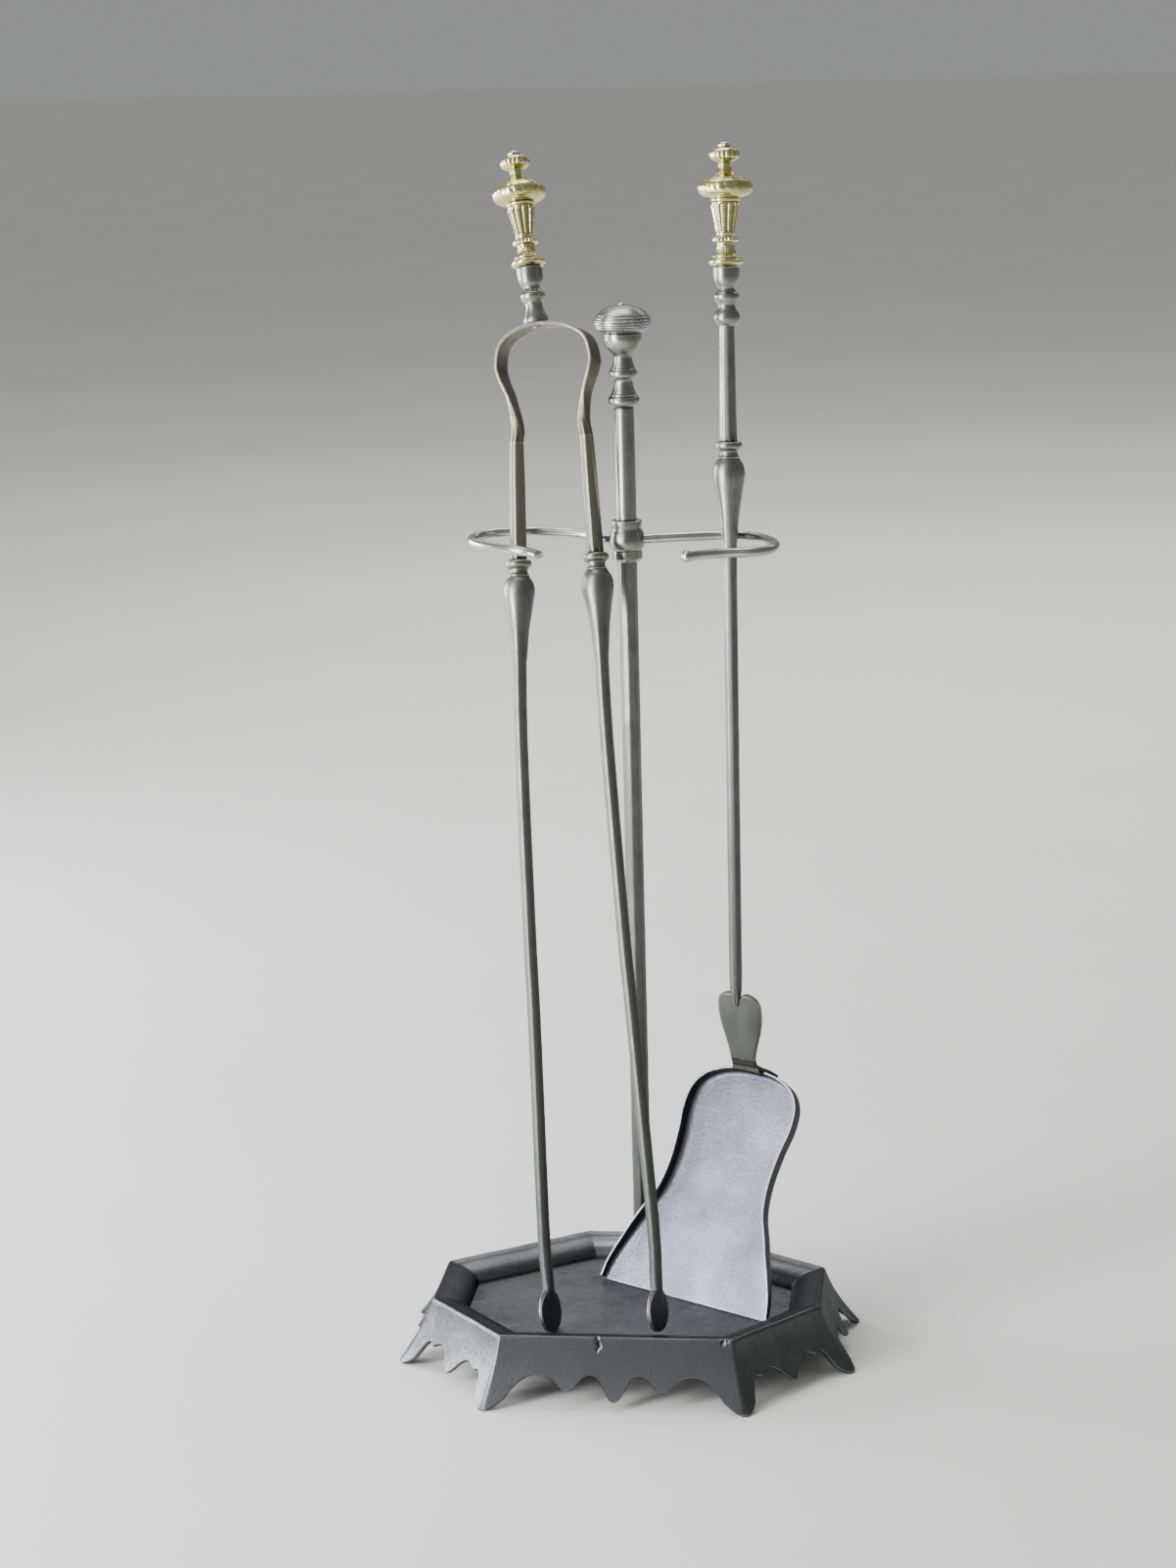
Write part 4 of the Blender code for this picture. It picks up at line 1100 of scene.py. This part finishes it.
def bow_ring(point, ahead, drop):
    """A ring across the bow: a flat strip that is drawn down into the leg's octagon."""
    across = Vector((math.sin(BOW_SKEW), math.cos(BOW_SKEW), 0))
    rise = across.cross(ahead).normalized()
    half_wide = BOW_WIDTH / 2 - 0.0042 * ease(drop, 0.0260, 0.0660)
    half_thick = BOW_SHEET / 2 + 0.0028 * ease(drop, 0.0420, 0.0700)
    power = 9 - 5.5 * ease(drop, 0.046, 0.070)
    ring = []
    for turned_by in turns(BAR_POINTS):
        angle = math.pi / 2 - turned_by
        reach = rounded_square(angle, power)
        ring.append(point + across * (half_wide * reach * math.cos(angle))
                    + rise * (half_thick * reach * math.sin(angle)))
    return ring


def build_tang():
    """The tongs' tang, which ends in a low peened head under the crown of the bow."""
    under = -BOW_SHEET - 0.0001
    profile = runs(
        [(0, TANG_TOP), (TANG_RADIUS, TANG_TOP)],
        [(TANG_RADIUS, under)],
        [(0.0031, under), (0.0030, under - 0.0004), (0.0017, under - 0.0008),
         (0, under - 0.0009)],
        steps=3,
    )
    turned("tongs_tang", profile, TONGS_SEAT, "tongs", "bow_steel", count=32)


def build_bow():
    """Two halves that meet at the crown, each one running down into its own leg."""
    path = smooth_path([(x, 0, -drop) for x, drop in BOW_LINE], 10)
    crown = path.index(min(path, key=lambda point: abs(point.z)))
    halves = {"left": path[:crown + 1], "right": path[crown:][::-1]}
    for side, half in halves.items():
        place, _ = leg_frame(side)
        leg_ring = bar_rings([(0, LEG_TOP_RADIUS, 1)], place)[0]
        rings = [[TONGS @ spot for spot in leg_ring]]
        for i, point in enumerate(half[1:], 1):
            ahead = half[min(i + 1, len(half) - 1)] - half[i - 1]
            if i == len(half) - 1:
                ahead = Vector((1 if side == "left" else -1, 0, 0))
            ring = bow_ring(point, ahead, -point.z)
            share = 1 - ease(-point.z, 0.056, 0.072)
            shift = point - half[0]
            ring = [(old + shift).lerp(new, share) for old, new in zip(leg_ring, ring)]
            rings.append([TONGS @ spot for spot in ring])
        piece = make_piece(f"tongs_bow_{side}", skin(rings), "bow_steel", "tongs_bow")
        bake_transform(piece)


def pad_rings(length, centre):
    """The bar's end flattened to a round pad that stands on its edge, bar lapped over it."""
    rings = []
    turn = Matrix.Rotation(PAD_TURN, 3, "Z")
    start = PAD_RADIUS + 0.0080
    middle = -length + PAD_RADIUS
    for k in range(PAD_STEPS + 1):
        rise = start - (start + PAD_RADIUS) * math.sin(math.pi / 2 * k / PAD_STEPS)
        disc = math.sqrt(max(0.0, PAD_RADIUS**2 - rise**2)) if rise < PAD_RADIUS else 0.0
        bar = 0.0039 * (1 - ease(-rise, -0.0120, 0.0040))
        half_wide = max(0.0006, (disc**4 + bar**4) ** 0.25)
        flat = 1 - ease(rise, 0.0040, start)
        half_thick = LEG_END_RADIUS + (PAD_HALF_THICKNESS - LEG_END_RADIUS) * flat
        end_round = min(1.0, 0.35 + (rise + PAD_RADIUS) / 0.0016)
        ring = []
        for angle in turns(BAR_POINTS):
            reach = rounded_square(angle, 2 + 3.0 * flat)
            cosine = math.cos(angle)
            y = half_wide * reach * math.sin(angle)
            x = half_thick * end_round * reach * cosine
            lap = 0.0013 * math.exp(-((y / 0.0030) ** 2)) * ease(rise, -0.0010, 0.0110) * flat
            x += math.copysign(lap, cosine) * abs(cosine)
            ring.append(centre(middle + rise) + turn @ Vector((x, y, 0)))
        rings.append(ring)
    return rings


def build_leg(side):
    """One leg, forged in one piece from the bow down to its round grip pad."""
    place, length = leg_frame(side)
    curve = smooth_path([(drop, offset, 0) for drop, offset in LEG_BEND[side]], 8)

    def centre(height):
        return Vector((wave_height(curve, -height), 0, height))

    upper = [(0, LEG_TOP_RADIUS, 1), (-0.0040, 0.0043, 1), (-0.0250, 0.0047, 1)]
    upper += [(-0.0560, 0.0050, 1), (-0.0710, 0.0051, 1)]
    bottom = -length + 2 * PAD_RADIUS + 0.0085
    lower = [(-0.1355, 0.0043, 0.8), (-0.1770, 0.0041, 0.7), (-0.3000, 0.0040, 0.6)]
    lower += [(-0.4200, 0.0039, 0.6), (bottom, LEG_END_RADIUS, 0.4)]
    stations = long_run(upper) + knot_stations(-0.0715, 0.0050, 0.0043) + long_run(lower)[1:]
    rings = bar_rings(stations, Matrix(), centre) + pad_rings(length, centre)
    world = TONGS @ place
    mesh = skin([[world @ spot for spot in ring] for ring in rings])
    stand_in(f"tongs_{side}_leg", mesh, "leg_steel", f"tongs_{side}")


# ---------------------------------------------------------------- shovel


PAN_HALF_OUTLINE = [
    (0.0635, 0), (0.0602, 0.0150), (0.0480, 0.0450), (0.0405, 0.0620), (0.0377, 0.0800),
    (0.0385, 0.1000), (0.0408, 0.1170), (0.0394, 0.1305), (0.0330, 0.1398), (0.0225, 0.1452),
    (0.0110, 0.1476), (0, PAN_LENGTH),
]
PAN_MOUTH_WALL = 0.0050
PAN_BEND = 0.0030               # radius between the pan's floor and its walls
FLOOR_COLUMNS = 14


def build_shaft():
    """The tang under the handle, the knot, the long bar and its pointed, lapped tip."""
    stations = [(SHAFT_TOP, 0.0044, 1), (0.0616, 0.0051, 1)]
    stations = long_run(stations) + knot_stations(0.0610, 0.0052, 0.0043)
    lower = [(-0.0030, 0.0043, 0.8), (-0.0300, 0.0041, 0.9), (-0.1500, 0.0040, 0.9)]
    lower += [(SHAFT_TIP + 0.0160, 0.0039, 0.9)]
    tip = [(SHAFT_TIP + 0.0160, 0.0039, 0), (SHAFT_TIP + 0.0070, 0.0036, 0)]
    tip += [(SHAFT_TIP + 0.0020, 0.0028, 0), (SHAFT_TIP - 0.0015, 0.0016, 0)]
    tip += [(SHAFT_TIP - 0.0030, 0.0004, 0)]
    tip_run = [(point.x, point.y, 0.6) for point in smooth_path(tip, 4)]
    stations += long_run(lower)[1:] + tip_run[1:]
    tang = [(SHAFT_TOP + TANG_TOP, TANG_RADIUS, 0), (SHAFT_TOP, TANG_RADIUS, 0)]
    mesh = skin(bar_rings(tang + stations, SHOVEL))
    stand_in("shovel_shaft", mesh, "forged_steel", "shovel")


def pan_row(right, i):
    """One row across the pan, from the rim of one wall over the floor to the other."""
    point = right[i]
    ahead = right[min(i + 1, len(right) - 1)] - right[max(i - 1, 0)]
    inward = Vector((-ahead.y, ahead.x, 0)).normalized()
    if i == len(right) - 1:
        inward = Vector((0, -1, 0))
    wall = PAN_MOUTH_WALL + (PAN_WALL - PAN_MOUTH_WALL) * min(1.0, point.y / 0.038)
    side = []
    for k in range(5):
        height = PAN_BEND + (wall - PAN_BEND) * (1 - k / 4)
        side.append(point + Vector((0, 0, height)))
    for k in range(1, 7):
        angle = math.radians(15 * k)
        side.append(point + inward * PAN_BEND * (1 - math.cos(angle))
                    + Vector((0, 0, PAN_BEND * (1 - math.sin(angle)))))
    edge = side[-1]
    half = max(0.0, edge.x)
    shares = [1 - 2 * k / FLOOR_COLUMNS for k in range(1, FLOOR_COLUMNS)]
    floor = [Vector((half * share, edge.y, 0)) for share in shares]
    mirror = [Vector((-spot.x, spot.y, spot.z)) for spot in reversed(side)]
    return side + floor + mirror


def build_pan():
    """Rows of one sheet surface, thickened and with its edges eased by modifiers."""
    right = smooth_path([(x, y, 0) for x, y in PAN_HALF_OUTLINE], 7)
    rows = [pan_row(right, i) for i in range(len(right))]
    vertices = []
    faces = []
    width = len(rows[0])
    for row in rows:
        for spot in row:
            spot.z += 0.00012 + wobble(spot, 0.030, 0.00012)
            vertices.append(PAN @ spot)
    for i in range(len(rows) - 1):
        for k in range(width - 1):
            start = i * width + k
            faces.append((start, start + 1, start + width + 1, start + width))
    mesh = clean_mesh(vertices, faces)
    pan = add_object("pan_sheet", mesh)
    up = PAN.to_3x3() @ Vector((0, 0, 1))
    middle = max(mesh.polygons, key=lambda face: face.area)
    if middle.normal.dot(up) < 0:
        mesh.flip_normals()
    solid = pan.modifiers.new("sheet", "SOLIDIFY")
    solid.thickness = PAN_SHEET
    solid.offset = -1
    solid.use_even_offset = True
    bevel = pan.modifiers.new("edges", "BEVEL")
    bevel.width = 0.00028
    bevel.segments = 3
    bevel.limit_method = "ANGLE"
    bevel.angle_limit = math.radians(50)
    graph = bpy.context.evaluated_depsgraph_get()
    mesh = bpy.data.meshes.new_from_object(pan.evaluated_get(graph))
    bpy.data.objects.remove(pan, do_unlink=True)
    # painted dark reflection and shade on the pan's walls and underside, partly old soot too
    walls = [1 - ease(vertex.normal.dot(up), 0.20, 0.72) for vertex in mesh.vertices]
    store_value(mesh, "painted_shade", walls)
    stand_in("shovel_pan", mesh, "pan_steel", "shovel")


# the leaf's half width to its left and right, by share of its length from the top
LEAF_WIDTHS = [
    (0, 0.0138, 0.0138), (0.06, 0.0156), (0.15, 0.0167), (0.27, 0.0166), (0.40, 0.0151),
    (0.52, 0.0128), (0.64, 0.0107), (0.74, 0.0094, 0.0096), (0.80, 0.0088, 0.0108),
    (0.85, 0.0086, 0.0146), (0.89, 0.0086, 0.0186), (1.0, 0.0086, 0.0196),
]
LEAF_FOOT = -0.0042             # the heel's middle, across the pan
LEAF_HALF_SHEET = 0.0014
LEAF_COLUMNS = 40
LEAF_ROWS = 96


def leaf_width(share, side):
    """Half width on one side, -1 left or 1 right; the heel spreads along the rim's right."""
    knots = [(row[0], row[-1] if side > 0 else row[1], 0) for row in LEAF_WIDTHS]
    return wave_height(smooth_path(knots, 4), min(1.0, share))


def leaf_path():
    """Middle line of the leaf in the pan's frame, from its top down the pan's back wall."""
    into_pan = PAN.inverted()
    seat = PAN_LENGTH + PAN_SHEET + LEAF_HALF_SHEET - 0.0002
    shaft_end = SHOVEL_AT_HOOK + SHOVEL_AXIS * (SHAFT_TIP + 0.0065)
    top = into_pan @ (STAND @ shaft_end) + Vector((0.0022, 0, 0))
    knots = [top, top.lerp(Vector((LEAF_FOOT, seat, PAN_WALL + 0.0030)), 0.5)]
    for y, z in ((seat + 0.0004, PAN_WALL + 0.0032), (seat, PAN_WALL - 0.0020), (seat, -0.0004)):
        knots.append(Vector((LEAF_FOOT, y, z)))
    return smooth_path(knots, 16)


def spot_along(path, lengths, distance):
    """The point at a distance along the path, and the way the path runs there."""
    for i in range(len(path) - 1):
        if distance <= lengths[i + 1]:
            share = (distance - lengths[i]) / (lengths[i + 1] - lengths[i])
            return path[i].lerp(path[i + 1], share), (path[i + 1] - path[i]).normalized()
    return path[-1], (path[-1] - path[-2]).normalized()


def leaf_top_edge(v):
    """How far down the two round lobes and the notch between them start, v from -1 to 1."""
    lobe = 0.0062
    edge = lobe - math.sqrt(max(0.0, lobe**2 - ((abs(v) - 0.5) * 2 * lobe) ** 2))
    return edge + 0.0010 * max(0.0, 1 - abs(v) / 0.22)


def build_leaf():
    """The heart-shaped leaf that joins the shaft to the back wall of the pan."""
    back = smooth_path([(x, y, 0) for x, y in reversed(PAN_HALF_OUTLINE)], 6)
    path = leaf_path()
    lengths = path_lengths(path)
    total = lengths[-1]
    sideways = Vector((1, 0, 0))
    rings = []
    for k in range(LEAF_ROWS + 1):
        front_row = []
        back_row = []
        for c in range(LEAF_COLUMNS + 1):
            v = 2 * c / LEAF_COLUMNS - 1
            top_edge = leaf_top_edge(v)
            distance = top_edge + (total - top_edge) * k / LEAF_ROWS
            spot, ahead = spot_along(path, lengths, distance)
            outward = sideways.cross(ahead).normalized()
            if outward.z < 0 and abs(outward.z) > abs(outward.y):
                outward = -outward
            fade = 1 - ease(distance, 0.012, 0.036)
            crown = 0.0009 * (1 - (2 * abs(v) - 1) ** 2) * fade + 0.0006 * (1 - v * v)
            edge = math.sqrt(max(0.0, 1 - max(0.0, (abs(v) - 0.86) / 0.14) ** 2))
            end = min(1.0, 0.3 + (distance - top_edge) / 0.0014)
            place = spot + sideways * v * leaf_width(distance / total, v)
            heel = ease(distance, total - 0.024, total - 0.012)
            place.y += heel * (wave_height(back, abs(place.x)) - PAN_LENGTH)
            wrap = 0.0023 * ease(distance, total - 0.0118, total - 0.0098)
            wrap *= 1 - ease(distance, total - 0.0084, total - 0.0070)
            thick = LEAF_HALF_SHEET * 0.75 * max(0.25, edge) * end
            front_row.append(PAN @ (place + outward * (thick + crown * edge * end)))
            back_row.append(PAN @ (place - outward * (thick + wrap)))
        rings.append(front_row + back_row[::-1])
    mesh = skin(rings)
    # painted shade on the leaf's heel, darkest where it comes down over the pan's rim
    into_pan = PAN.inverted()
    heights = [(into_pan @ vertex.co).z - PAN_WALL for vertex in mesh.vertices]
    store_value(mesh, "painted_shade", [1 - ease(height, 0.0010, 0.0100) for height in heights])
    stand_in("shovel_leaf", mesh, "forged_steel", "shovel")


def build_leaf_rivets():
    """Two rivets through the leaf's heel and the pan's back wall, hammered nearly flush."""
    inner = PAN_LENGTH - 0.0002
    outer = PAN_LENGTH + PAN_SHEET + 0.0030
    profile = runs(
        [(0, outer + 0.0004), (0.0014, outer + 0.0003), (0.0023, outer - 0.0001)],
        [(0.0013, outer - 0.0004), (0.0013, inner + 0.0004)],
        [(0.0023, inner + 0.0001), (0.0014, inner - 0.0003), (0, inner - 0.0004)],
        steps=3,
    )
    upright = Matrix.Rotation(math.radians(-90), 4, "X")
    for side, x in (("left", -0.0104), ("right", 0.0020)):
        place = PAN @ Matrix.Translation((x, 0, 0.0048)) @ upright
        turned(f"leaf_rivet_{side}", profile, place, "shovel", "forged_steel", count=24)


# ---------------------------------------------------------------- carried-over nodes


def dress_nodes():
    """The CAD pieces that are carried over as they are get the fine materials."""
    finishes = {
        "sheet_iron": ["tray_floor", *(f"floor_rivet_{i}" for i in range(1, 5))],
        "forged_steel": ["post_washer", "post_nut"],
    }
    for finish, names in finishes.items():
        for name in names:
            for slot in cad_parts[name].material_slots:
                slot.material = MATERIALS[finish]


# ---------------------------------------------------------------- stage


def floor_material():
    """Pale matt, faintly mottled."""
    colour = (0.76, 0.75, 0.73)
    material, tree, shader = new_material("pale_floor")
    coords = stretched_coords(tree, (1, 1, 1))
    mottle = remap(tree, noise_node(tree, coords, 3, 4), 0.3, 0.7)
    paler = tuple(part * 1.05 for part in colour)
    tree.links.new(blend_colours(tree, mottle, colour, paler), shader.inputs["Base Color"])
    shader.inputs["Roughness"].default_value = 0.85
    return material


def build_floor():
    half = 80.0                 # so large that its far edge is the horizon
    corners = [(-half, -half, 0), (half, -half, 0), (half, half, 0), (-half, half, 0)]
    mesh = bpy.data.meshes.new("floor")
    mesh.from_pydata(corners, [], [(0, 1, 2, 3)])
    mesh.materials.append(floor_material())
    add_object("floor", mesh)


def add_light(name, spot, size, energy, colour=(1, 1, 1), target=(0, 0, 0.32)):
    light = bpy.data.lights.new(name, "AREA")
    light.shape = "RECTANGLE"
    light.size, light.size_y = size
    light.energy = energy
    light.color = colour
    lamp = add_object(name, light)
    lamp.location = spot
    lamp.visible_camera = False
    aim = Vector(target) - Vector(spot)
    lamp.rotation_euler = aim.to_track_quat("-Z", "Y").to_euler()


def build_lights():
    """A soft window, a low strip and a fill on the left, one light overhead, a wash on the
    floor behind, and a sky that dims to the right and down to the horizon, where it meets
    the floor's own tone."""
    daylight = (0.97, 0.99, 1.0)
    add_light("window", (-1.7, -1.3, 1.9), (1.5, 1.5), 36, daylight)
    add_light("overhead", (-0.25, 0.55, 2.3), (1.3, 0.9), 20, daylight)
    add_light("low_strip", (-1.20, -1.00, 0.50), (0.50, 1.0), 44, daylight, (0, 0, 0.50))
    add_light("left_fill", (-1.60, 0.58, 0.60), (1.20, 0.90), 46, (0.95, 0.98, 1.0))
    add_light("back_wash", (0.3, 2.2, 2.3), (3.0, 1.4), 70, target=(0.3, 3.6, 0))
    world = bpy.data.worlds.new("studio")
    world.use_nodes = True
    tree = world.node_tree
    direction = tree.nodes.new("ShaderNodeTexCoord").outputs["Generated"]
    horizon = 0.37
    across = along_axis(tree, direction, "X")
    bright = remap(tree, across, -1.0, 1.0, 0.68 - horizon, 0.24 - horizon)
    lift = remap(tree, along_axis(tree, direction, "Z"), 0.03, 0.50)
    strength = math_node(tree, "ADD", math_node(tree, "MULTIPLY", bright, lift), horizon)
    background = tree.nodes["Background"]
    background.inputs["Color"].default_value = (0.80, 0.805, 0.81, 1)
    tree.links.new(strength, background.inputs["Strength"])
    bpy.context.scene.world = world


def build_camera():
    """The camera as solved from the photograph, a little above the knob and to its right."""
    turn = math.radians(-6.93)
    dip = math.radians(12.67)
    roll = math.radians(1.5)
    ahead = Vector((math.sin(turn) * math.cos(dip), math.cos(turn) * math.cos(dip), -math.sin(dip)))
    level = Vector((math.cos(turn), -math.sin(turn), 0))
    below = ahead.cross(level)
    right = level * math.cos(roll) + below * math.sin(roll)
    down = below * math.cos(roll) - level * math.sin(roll)
    place = Matrix((right, -down, -ahead)).transposed().to_4x4()
    place.translation = BASE_CENTRE + Vector((0.2105, -1.8841, 0.7844))
    camera = add_object("camera", bpy.data.cameras.new("camera"))
    camera.matrix_world = place
    camera.data.sensor_fit = "VERTICAL"
    camera.data.angle = math.radians(27.254)
    bpy.context.scene.camera = camera


# ---------------------------------------------------------------- the whole set

build_camera()
build_lights()
build_floor()
build_base()
build_post()
build_hub()
build_upper_post()
build_knob()
build_hook("left", LEFT_HOOK)
build_hook("right", RIGHT_HOOK)
build_handle("tongs", TONGS_SEAT)
build_handle("shovel", SHOVEL_SEAT)
build_tang()
build_bow()
for leg in LEG_TOP:
    build_leg(leg)
build_shaft()
build_pan()
build_leaf()
build_leaf_rivets()
dress_nodes()
